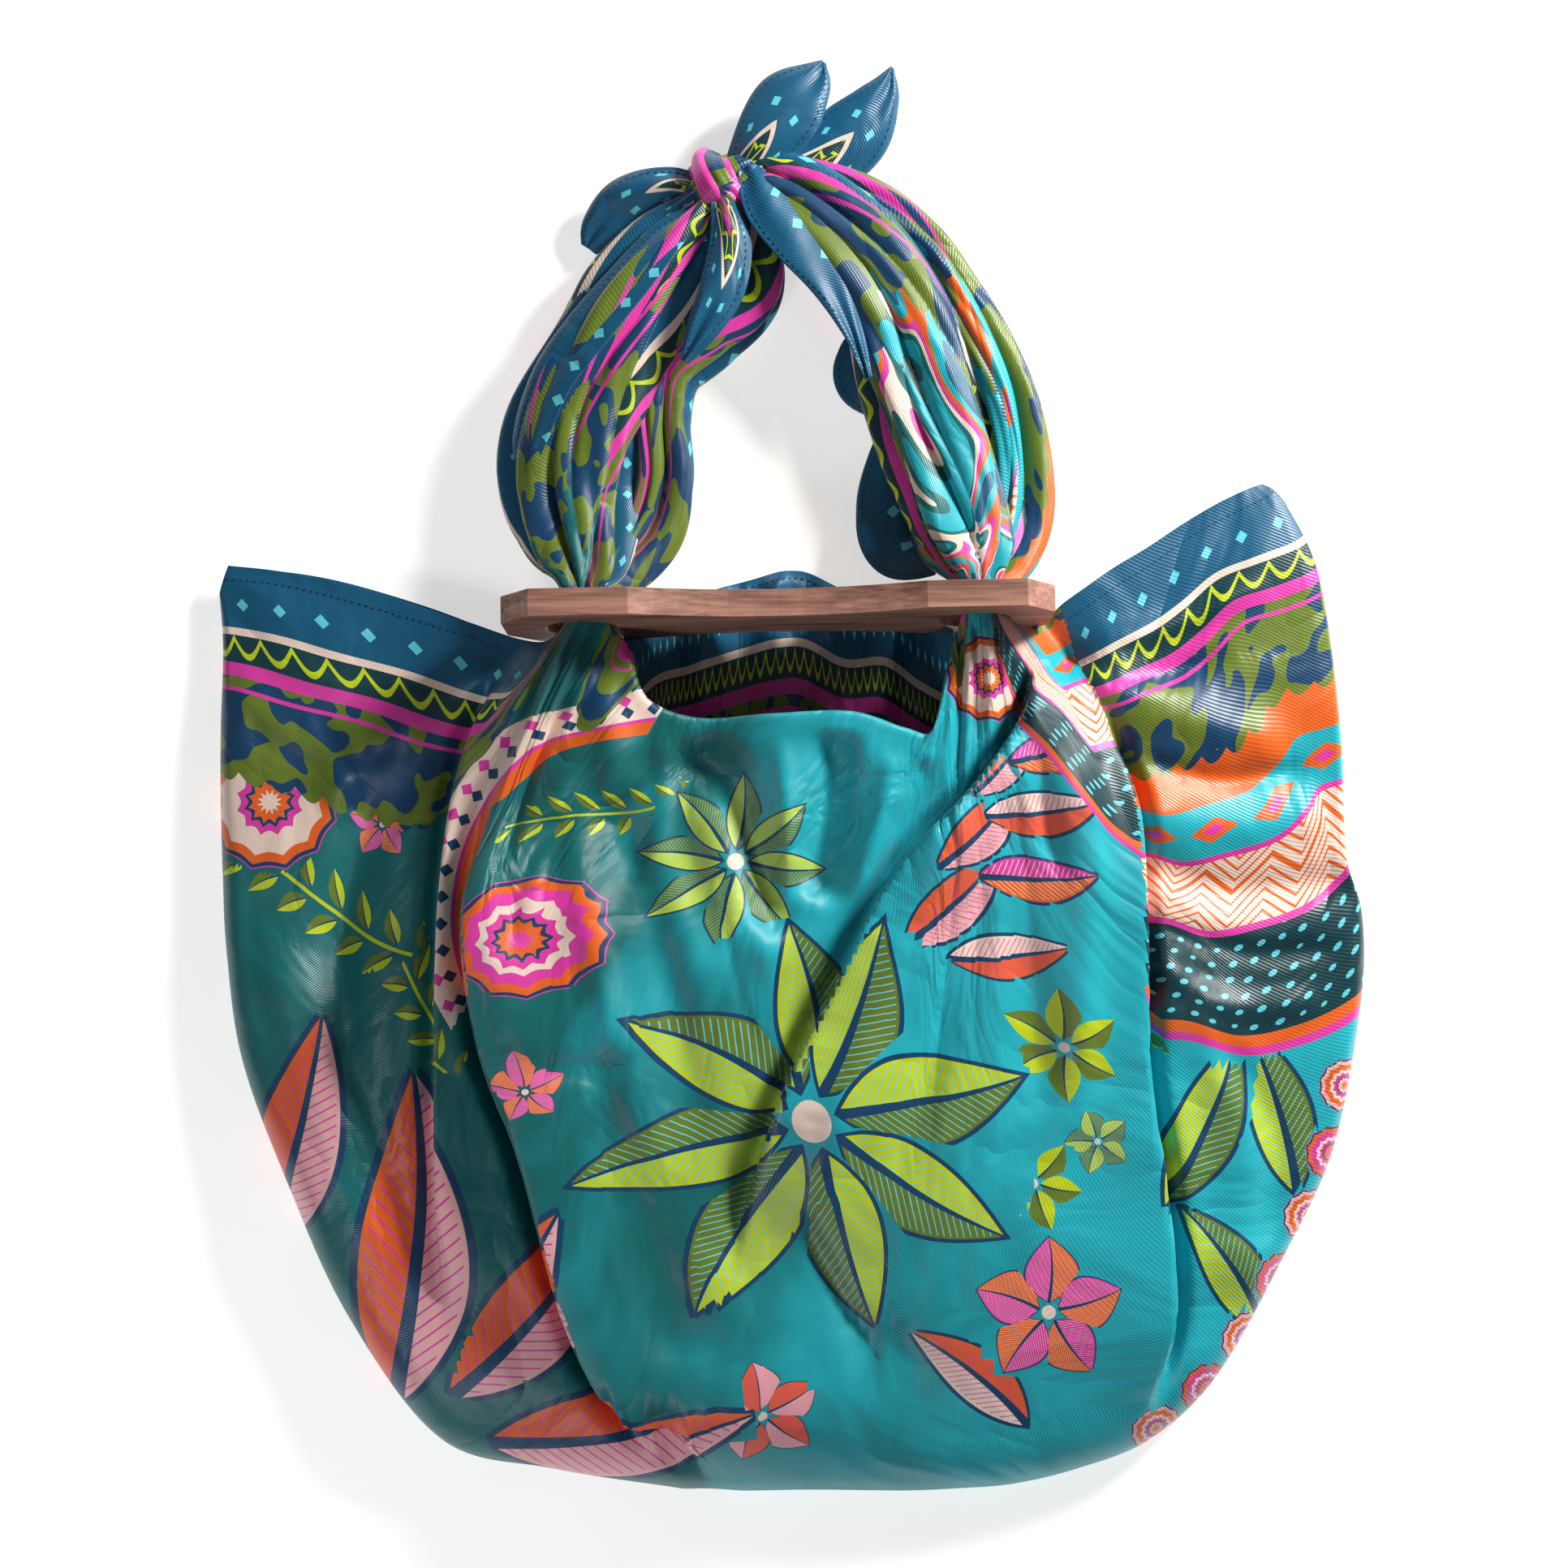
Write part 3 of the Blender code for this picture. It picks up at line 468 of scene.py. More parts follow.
def back_layer(at, share):
    """Points of the back layer, which lies on the floor but for the rise to each hole and a few folds."""
    row = column_values(at)
    x = row.back_x + (row.rim_x - row.back_x) * share
    y = row.back_y + (row.rim_y - row.back_y) * share
    long = np.hypot(row.rim_x - row.back_x, row.rim_y - row.back_y)
    height = FLOOR_LAYER + np.maximum(row.back_z - FLOOR_LAYER, 0) * (1 - ease(share * long / 62))
    height = height + crease_height(BACK_CREASES, x, y)
    shoulder = np.maximum(0.0, 1 - (1 - share) * long / 4.2)
    z = height + (RIM_HEIGHT - height) * (1 - np.sqrt(np.maximum(0.0, 1 - shoulder**2)))
    return np.stack([x, y, z], axis=-1)


# %% [markdown]
# Each grid point also knows its place on the flat scarf. The left hem is one wing's edge, then a quarter
# circle round the corner is gathered at the board, then comes the front hem, and so on round to the right
# wing. The rim is the scarf's middle line, bowed a little. The bag bulges, so its rim is longer than that
# line, and the print is laid out PRINT_LONG wide so that nothing on it looks stretched.

# %% Work out each strip's place on the flat scarf
SCARF = 0.9
PRINT_LONG = 1.30
TIP_TO_RIM = 12.0
CORNER_REACH = 0.29
MOUTH_TURNED_IN = 0.115
# The stations where the left hem, its gathers, the front hem, the right gathers and the right hem start.
HEM_STATIONS = (0, 6.4, 12.2, 19.8, 25.4)


def hem_places(at, turned_in):
    """Where each strip starts on the flat scarf, in metres."""
    run = np.interp(at, [*HEM_STATIONS, len(STATIONS) - 1], range(6))
    edges = [(0, SCARF / 2), (0, CORNER_REACH), (CORNER_REACH, 0), (PRINT_LONG - CORNER_REACH, 0),
             (PRINT_LONG, CORNER_REACH), (PRINT_LONG, SCARF / 2)]
    places = np.stack([np.interp(run, range(6), [e[k] for e in edges]) for k in (0, 1)], axis=-1)
    for start, corner, way in ((1, 0, 1), (3, PRINT_LONG, -1)):
        leg = (run >= start) & (run < start + 1)
        turn = (run[leg] - start) * math.pi / 2
        turn = turn if way > 0 else math.pi / 2 - turn
        places[leg] = np.stack([corner + way * CORNER_REACH * np.sin(turn), CORNER_REACH * np.cos(turn)], -1)
    mouth = ease((at - 11.4) / 1.6) * ease((20.6 - at) / 1.6)
    places[:, 1] += turned_in * mouth
    return places


def rim_places(at):
    """Where each strip meets the rim on the flat scarf, in metres."""
    rim = spread(STATIONS, at)[:, [5, 6]]
    run = np.concatenate([[0], np.cumsum(np.hypot(*np.diff(rim, axis=0).T))])
    share = (run + TIP_TO_RIM) / (run[-1] + 2 * TIP_TO_RIM)
    return np.stack([PRINT_LONG * share, SCARF / 2 + 0.075 * np.sin(math.pi * share)], axis=-1)


# %% [markdown]
# ## The print's motifs
# The design was made for this bag: big leaves, lime rosettes, blossoms, ringed fans, sprigs and berries, in
# the real cloth's colours and sizes. Each row places one motif, in millimetres as the bag is seen: its kind,
# its tone, x and y, half its size, and its turn in degrees.

# %% Place the motifs
TONES = ["lime", "orange", "pink", "cream"]
MOTIF_ROWS = """
    rosette lime 18 -150 92 12; rosette lime -24 -36 40 40; sprig lime -76 -16 34 110;
    leaf orange -224 -160 58 -16; leaf orange -172 -204 76 -4; leaf orange -112 -226 60 -40;
    leaf orange -74 -282 62 -80; ring cream -50 -60 102 60; fan pink -84 -68 24 20;
    blossom pink -85 -124 14 10; leaf orange 128 22 24 -30; leaf pink 140 -2 24 -64;
    leaf orange 116 -10 24 -40; leaf cream 128 -30 24 -72; leaf orange 104 -40 26 -44;
    leaf pink 122 -56 22 -76; leaf orange 92 -68 24 -48; leaf cream 108 -84 20 -78; fan cream 86 44 20 0;
    berries lime 122 -118 24 0; berries lime 106 -176 22 20; blossom lime 134 -158 15 20;
    blossom pink 112 -232 34 0; leaf cream 78 -262 34 50; blossom orange -10 -274 26 12;
    sprig lime -212 -52 54 66; sprig lime -166 -92 46 40; sprig lime 208 -96 52 -70;
    leaf lime 180 -150 42 -24; leaf lime 212 -146 40 18; leaf lime 192 -218 36 34; fan cream -232 -10 32 0;
    blossom pink -182 -20 16 0; blossom orange -196 10 13 0"""
MOTIFS = []
for row in MOTIF_ROWS.split(";"):
    kind, tone, *values = row.split()
    MOTIFS.append(Motif(kind, TONES.index(tone), *map(float, values)))
# A row of small fans follows the lower right rim.
RIM_FANS = table("246 -136; 240 -166; 230 -194; 217 -222; 202 -248; 184 -270; 162 -288")
MOTIFS += [Motif("fan", 1 + k % 2, x, y, 13, 0) for k, (x, y) in enumerate(RIM_FANS)]
# The first motif that holds a place is drawn there. Fans are full discs, so they lie on top of the rest.
MOTIFS.sort(key=lambda motif: motif.kind != "fan")
print(len(MOTIFS), "motifs")


# %% Make the pouch
def lip_of(at, row, front):
    """The edge of the front, rolled inward, from its free end to the edge itself."""
    edge = front[:, 0]
    inner = front_layer(at, np.full((len(at), 1), 0.05))[:, 0]
    long = np.hypot(row.rim_x - row.front_x, row.rim_y - row.front_y)[:, 0]
    out = edge[:, :2] - inner[:, :2]
    out /= np.linalg.norm(out, axis=1)[:, None]
    arc = np.minimum(math.pi * LIP_RADIUS, row.lip[:, 0])
    bend = np.maximum(np.radians(row.curl[:, 0]), 0.001)
    lip = []
    for k in range(LIP_ROWS):
        way = 2 * (1 - k / LIP_ROWS)
        turned, tail = min(way, 1.0), row.lip[:, 0] * max(way - 1, 0)
        onward = arc / bend * np.sin(bend * turned) + tail * np.cos(bend * turned)
        down = arc / bend * (1 - np.cos(bend * turned)) + tail * np.sin(bend * turned)
        above = front_layer(at, (np.maximum(-onward, 0) / long)[:, None])[:, 0, 2]
        lip.append(np.column_stack([edge[:, :2] + out * onward[:, None], above - down]))
    return np.stack(lip, axis=1), arc + row.lip[:, 0]


def make_pouch():
    at = np.linspace(0, len(STATIONS) - 1, COLUMNS)
    row = column_values(at)
    long = np.hypot(row.rim_x - row.front_x, row.rim_y - row.front_y)
    corner = np.minimum(row.bend / long, 0.45)
    steps = np.linspace(0, 1, FRONT_ROWS - SHOULDER_ROWS)[None, :]
    turn = np.arange(1, SHOULDER_ROWS + 1)[None, :] / SHOULDER_ROWS
    share = np.concatenate([(1 - corner) * steps**1.1, 1 - corner * (1 - np.sin(math.pi / 2 * turn))], axis=1)
    front = front_layer(at, share)
    lip, lip_long = lip_of(at, row, front)

    back_long = np.hypot(row.rim_x - row.back_x, row.rim_y - row.back_y)
    corner = np.minimum(4.2 / back_long, 0.45)
    turn = np.arange(1, TURN_ROWS + 1)[None, :] / TURN_ROWS
    steps = (1 - np.linspace(0, 1, BACK_ROWS + 1)[None, 1:]) ** 1.6
    under = np.concatenate([1 - corner * (1 - np.cos(math.pi / 2 * turn)), (1 - corner) * steps], axis=1)
    back = back_layer(at, under)

    top = hem_places(at, MOUTH_TURNED_IN)[:, None, :]
    rim = rim_places(at)[:, None, :]
    hem = hem_places(at, 0.0)[:, None, :] * [1, -1] + [0, SCARF]
    inward = (rim - top) / np.linalg.norm(rim - top, axis=-1, keepdims=True).clip(1e-6)
    lip_steps = (np.arange(LIP_ROWS, 0, -1) / LIP_ROWS)[None, :, None] * lip_long[:, None, None] * MM
    flat = np.concatenate([top - inward * lip_steps, top + (rim - top) * share[:, :, None],
                           hem + (rim - hem) * under[:, :, None]], axis=1)
    points = np.concatenate([lip, front, back], axis=1)
    r, c = face_corners(*points.shape[:2])
    lost, skipped = swallowed_print(points[:, :, 0], points[:, :, 1], r, c)
    flat = flat[r, c]
    flat[..., 0] += skipped * MM
    return sheet_mesh("pouch", points, flat, points[r, c, :2] + lost, MOTIFS)


pouch = make_pouch()
print("pouch:", len(pouch.data.polygons), "faces")

# %% [markdown]
# ## The gathered corners
# Above the board each corner of the scarf is a bundle of soft rolls. Across the bundle the rolls are
# circles, and the cloth is the outer line round all of them, which gives round rolls with sharp creases
# between. Each roll shows its own part of the print, because the cloth between two rolls is folded away.

# %% Define and make the gathered corners
Section = namedtuple("Section", "x y z half_width half_height")
Roll = namedtuple("Roll", "side rise size print_deg")
Strand = namedtuple("Strand", "name corner twist rolls sections")
# A strand's first table holds its rolls, and its second its sections.
STRANDS = [
    Strand("left_front", (0.0, 0.0), 0.7, table("""
        -0.68 0.02 0.3 82; -0.48 0.36 0.36 73; -0.14 0.56 0.32 66; 0.12 0.68 0.18 62; 0.36 0.48 0.38 26;
        0.62 0.3 0.24 20; 0.74 0.04 0.24 9; 0.62 -0.3 0.34 16; 0.15 -0.55 0.42 30;
        -0.4 -0.5 0.45 60"""), table("""
        -91 78 34.5 8 8; -91 84.5 34.5 11.5 11; -91 94 31 20 15; -94 110 25 27 17.5; -97 130 20 31 18;
        -95 155 19 31 17.5; -85 182 18.5 28 17; -70 208 18 26 16; -53 232 17 21 14; -39 250 17 13 12;
        -30 263 16 8 9""")),
    Strand("left_back", (0.0, 0.9), -0.4, table("""
        -0.52 0.3 0.44 66; 0.06 0.56 0.34 26; 0.44 0.4 0.3 17; 0.7 0.0 0.3 8; 0.1 -0.5 0.5 40;
        -0.6 -0.3 0.38 80"""), table("""
        -89 77.5 33 6.5 6.5; -86 86 31 10 10; -77 97 24 15 13; -64 113 17 16 14; -58 135 15 15 13.5;
        -59 160 14 14 13; -57 183 13.5 16 12.5; -42 203 13 20 12; -26 222 13 22 12; -23 245 14 15 12;
        -28 261 15 9 9""")),
    Strand("right_front", (PRINT_LONG, 0.0), -0.7, table("""
        -0.72 0.02 0.26 8; -0.52 0.36 0.32 24; -0.2 0.56 0.36 40; 0.1 0.68 0.16 46; 0.34 0.52 0.36 54;
        0.62 0.3 0.22 66; 0.72 0.04 0.26 80; 0.6 -0.32 0.34 70; 0.15 -0.55 0.42 45;
        -0.4 -0.5 0.45 30"""), table("""
        81 81 34.5 8 8; 81 88 34.5 11.5 11; 80 98 31 20 15; 78 113 25 26 17.5; 72 135 20 27 18;
        63 160 19 27 17.5; 55 185 18.5 27 17; 45 210 18 25 16.5; 28 235 18 23 15.5; 5 257 18 18 14;
        -14 267 17 13 12; -28 265 16 9 9""")),
    Strand("right_back", (PRINT_LONG, 0.9), 0.5, table("""
        -0.56 0.25 0.4 60; -0.06 0.56 0.34 46; 0.36 0.48 0.3 34; 0.68 0.06 0.32 74; 0.2 -0.5 0.5 30;
        -0.5 -0.4 0.45 20"""), table("""
        82 80.4 33 6.5 6.5; 85 88 31 10 10; 92 100 24 15 13; 99 118 17 16 14; 100 142 15 16 14;
        95 168 14.5 17 13.5; 84 192 14 17 13; 71 214 13.5 15 12.5; 55 236 13 14 12; 30 255 13 13 11;
        -5 266 14 11 10; -25 262 15 8 9""")),
]
STRAND_ROWS = 170
STRAND_AROUND = 180
KNOT_REACH = 0.075


def path_ways(x, y):
    """The way along a line of points, and how far along it each point is."""
    centre = np.stack([x, y], axis=-1)
    way = np.gradient(centre, axis=0)
    step = np.linalg.norm(way, axis=1)
    return way / step[:, None], np.concatenate([[0], np.cumsum(np.hypot(*np.diff(centre, axis=0).T))])


def beside(row, way, side, z):
    """Points beside a path, to its left where side is positive, at the heights z."""
    return np.stack([row.x[:, None] - way[:, 1:] * side, row.y[:, None] + way[:, :1] * side, z], -1)


def corner_flat(corner, reach, degrees):
    """A place on the flat scarf, given from one of its corners."""
    turn = np.radians(np.clip(degrees, 0.5, 89.5))
    u = corner[0] + reach * np.cos(turn) * (1 if corner[0] == 0 else -1)
    v = corner[1] + reach * np.sin(turn) * (1 if corner[1] == 0 else -1)
    return np.stack([u, v], axis=-1)


def make_strand(strand):
    at = np.linspace(0, len(strand.sections) - 1, STRAND_ROWS)
    row = Section(*spread(strand.sections, at).T)
    way, run = path_ways(row.x, row.y)
    angle = np.linspace(0, 2 * math.pi, STRAND_AROUND + 1)
    along = at / at[-1]
    far, shown = [], []
    for k, roll in enumerate(Roll(*values) for values in strand.rolls):
        turn = strand.twist * (along - 0.4) + 0.20 * np.sin(2.3 * math.pi * along + 2.1 * k)
        swell = 1 + 0.16 * np.sin(3.1 * math.pi * along + 1.7 * k)
        side = roll.side * np.cos(turn) - roll.rise * np.sin(turn)
        rise = roll.side * np.sin(turn) + roll.rise * np.cos(turn)
        dot = side[:, None] * np.cos(angle) + rise[:, None] * np.sin(angle)
        gap = (roll.size * swell[:, None]) ** 2 - (side**2 + rise**2)[:, None] + dot**2
        far.append(np.where(gap > 0, dot + np.sqrt(np.maximum(gap, 0)), 0))
        off = (angle - np.arctan2(rise, side)[:, None] + math.pi) % (2 * math.pi) - math.pi
        shown.append(roll.print_deg - np.degrees(off) * 0.24)
    far, shown = np.array(far), np.array(shown)
    down = along[:, None]
    reach = np.maximum(0.97 - 1.7 * (0.97 - far.max(axis=0)), 0.34)
    lobes = np.abs(np.sin(4 * angle + 5 * down + 0.8 * np.sin(9 * down))) - 0.64
    reach += 0.05 * lobes * np.sin(math.pi * down)
    reach += 0.016 * np.sin(17 * angle + 11 * down) + 0.012 * np.sin(29 * down + 6 * angle)
    side = np.cos(angle) * reach * row.half_width[:, None]
    rise = np.sin(angle) * reach * row.half_height[:, None]
    points = beside(row, way, side, np.maximum(row.z[:, None] + rise, 0.5))
    r, c = face_corners(STRAND_ROWS, STRAND_AROUND + 1)
    winner = far[:, r, c].mean(axis=-1).argmax(axis=0)
    degrees = shown[winner[:, None], r, c]
    from_corner = (CORNER_REACH - 0.004) + (KNOT_REACH - CORNER_REACH) * along[r]
    flat = corner_flat(strand.corner, from_corner, degrees)
    places = np.stack([degrees + 14 * (winner % 2)[:, None], run[r] + 23 * (winner % 3)[:, None]], -1)
    return sheet_mesh(strand.name, points, flat, places, ring=True)


strands = [make_strand(strand) for strand in STRANDS]
print("strands:", [len(s.data.polygons) for s in strands])

# %% [markdown]
# ## Loose ends and hems that stand off
# The free corners past the knot, and the places where a hem stands off its strand, are single cupped
# layers. Their edges are hems, so each carries the scarf's border. Two long flaps lie over the strands,
# with a free hem that throws a shadow, as the scarf's own edges do where they aren't rolled in.

# %% Make the loose ends
Leaf = namedtuple("Leaf", "x y z half_width cup lean")
Tail = namedtuple("Tail", "name corner hem_side sections")
BOTH, LEFT_HEM, RIGHT_HEM = 0, -1, 1
TAILS = [
    Tail("tail_upper_left", (PRINT_LONG, 0.0), BOTH, table("""
        -27 264 20 6 2 0; -13 281 24 14 5 0; -1 299 23 16.5 5 -2; 9 311 20 10 3 -1; 14 319 18 1.4 0.5 0""")),
    Tail("tail_upper_right", (PRINT_LONG, 0.9), BOTH, table("""
        -20 264 14 7 2 0; 8 273 12 14 4 2; 28 289 11 16 5 3; 40 306 10 9 3 2; 45 319 9 0.8 0.5 0""")),
    Tail("tail_left", (0.0, 0.9), BOTH, table("""
        -33 260 16 5 1 0; -53 264 17 9 4 0; -72 257 13 13 6 -2; -85 246 9 10 3 -1; -91 238 7 4 0.5 0""")),
    Tail("tail_down", (0.0, 0.0), BOTH, table("""
        -32 258 29 4 1 0; -27 238 33 9 3 0; -30 216 36 10 3 0; -39 197 36 7 2 0; -47 183 35 2 0.5 0""")),
    Tail("hem_low", (PRINT_LONG, 0.0), RIGHT_HEM, table("""
        66 96 24 6 1 0; 49 104 18 16 3 0; 45 122 13 16 4 0; 47 142 12 13 3 0; 52 158 13 10 2 0""")),
    Tail("hem_high", (PRINT_LONG, 0.0), RIGHT_HEM, table("""
        46 166 13 8 1 0; 34 178 12 14 3 0; 33 190 12 12 3 0; 38 203 13 6 1 0""")),
    Tail("flap_left", (0.0, 0.0), LEFT_HEM, table("""
        -41 251 25 4 0 1; -54 240 29 8 1 3; -69 222 32 10 1 4; -89 198 33 11 1 5; -105 176 32 10 1 5;
        -115 150 30 8 1 4; -117 132 27 3 0 1""")),
    Tail("flap_right", (PRINT_LONG, 0.0), LEFT_HEM, table("""
        -20 270 27 4 0 0; -11 254 31 11 2 -3; 3 238 33 13 2 -4; 17 219 33 10 2 -3; 27 197 32 5 1 -2;
        34 176 32 1.5 0 0""")),
]
TAIL_ROWS = 64
TAIL_ACROSS = 28


def tail_grid(tail, at, across):
    """Points of a loose end: at is along its table, and across from -1 to 1 between its edges."""
    row = Leaf(*spread(tail.sections, at).T)
    way, run = path_ways(row.x, row.y)
    wide = np.maximum(row.half_width, 0.6)[:, None] * across
    along = at[:, None] / at[-1]
    ripple = 0.7 * np.sin(4.2 * across + 7 * along) + 0.4 * np.sin(9 * along * across)
    z = row.z[:, None] + row.cup[:, None] * (0.5 - across**2) + row.lean[:, None] * across + ripple
    return beside(row, way, wide, z), wide, run


def make_tail(tail):
    at = np.linspace(0, len(tail.sections) - 1, TAIL_ROWS)
    across = np.linspace(-1, 1, TAIL_ACROSS + 1)
    points, wide, run = tail_grid(tail, at, across[None, :])
    if tail.hem_side == BOTH:
        left = (run[-1] - run)[:, None] * MM + 0.004
        flat = corner_flat(tail.corner, left, 45 + 44 * across[None, :])
    else:
        hem = np.abs(wide - tail.hem_side * np.abs(wide).max(axis=1)[:, None]) * MM
        u = tail.corner[0] + hem * (1 if tail.corner[0] == 0 else -1)
        flat = np.stack([u, 0.10 + run[:, None] * MM * np.ones_like(u)], -1)
    return sheet_mesh(tail.name, points, flat, points[:, :, :2])


tails = [make_tail(tail) for tail in TAILS]
print("tails:", [t.name for t in tails])

# %% [markdown]
# ## The knot
# The knot is where the two pairs of corners cross: bands of rolled cloth that wind over each other.

# %% Make the knot
Wrap = namedtuple("Wrap", "name flat_start sections")
WRAPS = [
    Wrap("knot_core", (0.4, 0.078), table("""
        -47 254 14 5 5; -39 258 17 10 9; -30 263 18 13 11; -20 268 18 11 10; -12 272 17 7 7""")),
    Wrap("knot_over", (0.3, 0.0476), table("""
        -34 280 9 6 4; -36 275 20 8 5; -34 266 28 8.5 5; -30 257 26 8.5 5; -27 250 15 7 4; -26 247 8 5 3""")),
    Wrap("knot_cross", (0.36, 0.053), table("""
        -46 268 10 5 4; -40 268 20 6 5; -32 263 27 7 5; -24 255 24 7 5; -19 249 14 6 4""")),
]
WRAP_ROWS = 70
WRAP_AROUND = 90


def make_wrap(wrap):
    at = np.linspace(0, len(wrap.sections) - 1, WRAP_ROWS)
    row = Section(*spread(wrap.sections, at).T)
    way, run = path_ways(row.x, row.y)
    angle = np.linspace(0, 2 * math.pi, WRAP_AROUND + 1)[None, :]
    turned = angle + 0.9 * at[:, None] / at[-1]
    reach = 1 - 0.17 * (1 - np.abs(np.sin(3 * turned))) ** 1.6 + 0.03 * np.sin(11 * turned)
    side = np.cos(angle) * reach * row.half_width[:, None]
    rise = np.sin(angle) * reach * row.half_height[:, None]
    points = beside(row, way, side, np.maximum(row.z[:, None] + rise, 0.6))
    u = wrap.flat_start[0] + run[:, None] * MM * np.ones_like(angle)
    v = wrap.flat_start[1] + 0.0035 * np.sin(turned)
    return sheet_mesh(wrap.name, points, np.stack([u, v], -1), points[:, :, :2], ring=True)


wraps = [make_wrap(wrap) for wrap in WRAPS]

# %% [markdown]
# ## The printed silk
# Silk twill printed with dyes: satin sheen, colours that stay rich in shade, and a fine diagonal rib. The
# real rib is 0.3 mm apart, and it is drawn at 1.6 mm so that it shows. The hem band has small pale diamonds,
# then come a scalloped band, pink lines and an olive band with blue pebbles, and at the right hem three
# more bands. Everything is drawn from the `flat` and `motif` maps, so it follows each fold.

# %% Make the printed silk
TEAL, TURQUOISE, DEEP_TEAL, DARK_TEAL = (linear(c) for c in ("#0A686A", "#1FAFBE", "#0B587C", "#083A42"))
LIME, OLIVE, NAVY, AQUA = (linear(c) for c in ("#BFD01C", "#667A26", "#0B3F66", "#62CFDF"))
ORANGE, PINK, CREAM, ROSE = (linear(c) for c in ("#E8641F", "#DF3CA6", "#EED5C6", "#F0B2B2"))
RIB_PITCH = 0.0016
MIX = "Mix data_type=RGBA"
SQRT, ARCTAN2, SINE, COSINE, ROUND, FRACT, COMPARE, MINIMUM, MAXIMUM = (
    f"Math operation={name}" for name in
    ("SQRT", "ARCTAN2", "SINE", "COSINE", "ROUND", "FRACT", "COMPARE", "MINIMUM", "MAXIMUM"))


def motif_layers(tree):
    """Whether a place is inside its motif, the motif's colour there, and where its dark outline is."""
    x, y, _ = add(tree, "SeparateXYZ", add(tree, "UVMap uv_map=motif"))
    key = add(tree, "Attribute attribute_name=motif_key")
    kind, tone, sectors = add(tree, "SeparateXYZ", key["Vector"])
    form = add(tree, "Attribute attribute_name=motif_form")
    width = add(tree, "SeparateXYZ", form["Vector"])

    radius = add(tree, SQRT, x * x + y * y)
    angle = add(tree, ARCTAN2, x, y)
    sector = 2 * math.pi / add(tree, MAXIMUM, sectors, 1.0)
    off = angle - add(tree, ROUND, angle / sector) * sector
    petal_y = (radius * add(tree, COSINE, off) - 0.55) / 0.42
    petal_x = radius * add(tree, SINE, off) / 0.42

    from_stem = x - add(tree, SINE, y * 2.4) * 0.12
    beside = abs(from_stem) - 0.17
    step = (add(tree, FRACT, y * 3.5) - 0.5) / 3.5
    sprig_y = (beside * 0.8 + step * 0.6) / 0.155
    sprig_x = (step * 0.8 - beside * 0.6) / 0.155

    polar = sectors > 0.5
    sprig, is_fan, is_ring = (add(tree, COMPARE, kind, FORMS[name].number, 0.1)
                              for name in ("sprig", "fan", "ring"))

    def pick(plain, turned, paired):
        return add(tree, "Mix", sprig, add(tree, "Mix", polar, plain, turned), paired)

    leaf_y, leaf_x = pick(y, petal_y, sprig_y), pick(x, petal_x, sprig_x)
    full = 1.0 - leaf_y * leaf_y
    bend = leaf_x - full * 0.1
    half = full * width * (1.0 - leaf_y * 0.25)
    inside = half - abs(bend)
    rib = abs(bend) < leaf_y * -0.022 + 0.034
    vein_place = (leaf_y - abs(bend) * 0.9) * 11.0
    vein = (add(tree, FRACT, vein_place) < 0.17) * (inside > 0.03)

    at_least = [tone > k - 0.5 for k in (1, 2, 3)]

    def toned(*colours):
        colour = colours[0]
        for above, other in zip(at_least, colours[1:]):
            colour = add(tree, MIX, above, colour, other)
        return colour

    first = toned(LIME, ORANGE, PINK, CREAM)
    second = toned(OLIVE, ROSE, ORANGE, ORANGE)
    line = toned(AQUA, PINK, CREAM, PINK)
    colour = add(tree, MIX, bend > 0.0, first, second)
    colour = add(tree, MIX, vein * (kind < 4.5), colour, line)
    colour = add(tree, MIX, rib, colour, NAVY)

    wavy = radius + abs(add(tree, COSINE, angle * 6.0)) * 0.07
    fan = is_fan * (wavy < 0.97)
    ring = add(tree, FRACT, wavy * 1.7)
    fan_colour = first
    for start, dye in ((0.3, second), (0.52, NAVY), (0.62, PINK), (0.8, CREAM)):
        fan_colour = add(tree, MIX, ring > start, fan_colour, dye)
    colour = add(tree, MIX, is_fan, colour, fan_colour)
    bead = abs(add(tree, FRACT, angle * 8.0) - 0.5) * 0.11

    def bead_row(at_radius):
        return bead + abs(radius - at_radius) < 0.028

    ring_colour = add(tree, MIX, radius < 0.845, CREAM, ORANGE)
    for inked, dye in ((abs(radius - 0.85) < 0.008, PINK), (bead_row(0.895), NAVY), (bead_row(0.945), PINK)):
        ring_colour = add(tree, MIX, inked, ring_colour, dye)
    colour = add(tree, MIX, is_ring, colour, ring_colour)
    ring = is_ring * (radius < 0.985) * (radius > 0.79)

    twig = (abs(from_stem) < 0.016) * (abs(y) < 0.95) * sprig
    colour = add(tree, MIX, twig, colour, LIME)
    middle = polar * (radius < 0.09)
    colour = add(tree, MIX, middle, colour, CREAM)
    drawn = (inside > 0.0) * (1.0 - is_fan) * (kind < 6.5)
    for other in (fan, ring, twig, middle):
        drawn = add(tree, MAXIMUM, drawn, other)
    outline = (inside > -0.05) * (kind > 0.5) * (kind < 3.5)
    return drawn * (kind > 0.5), colour, outline


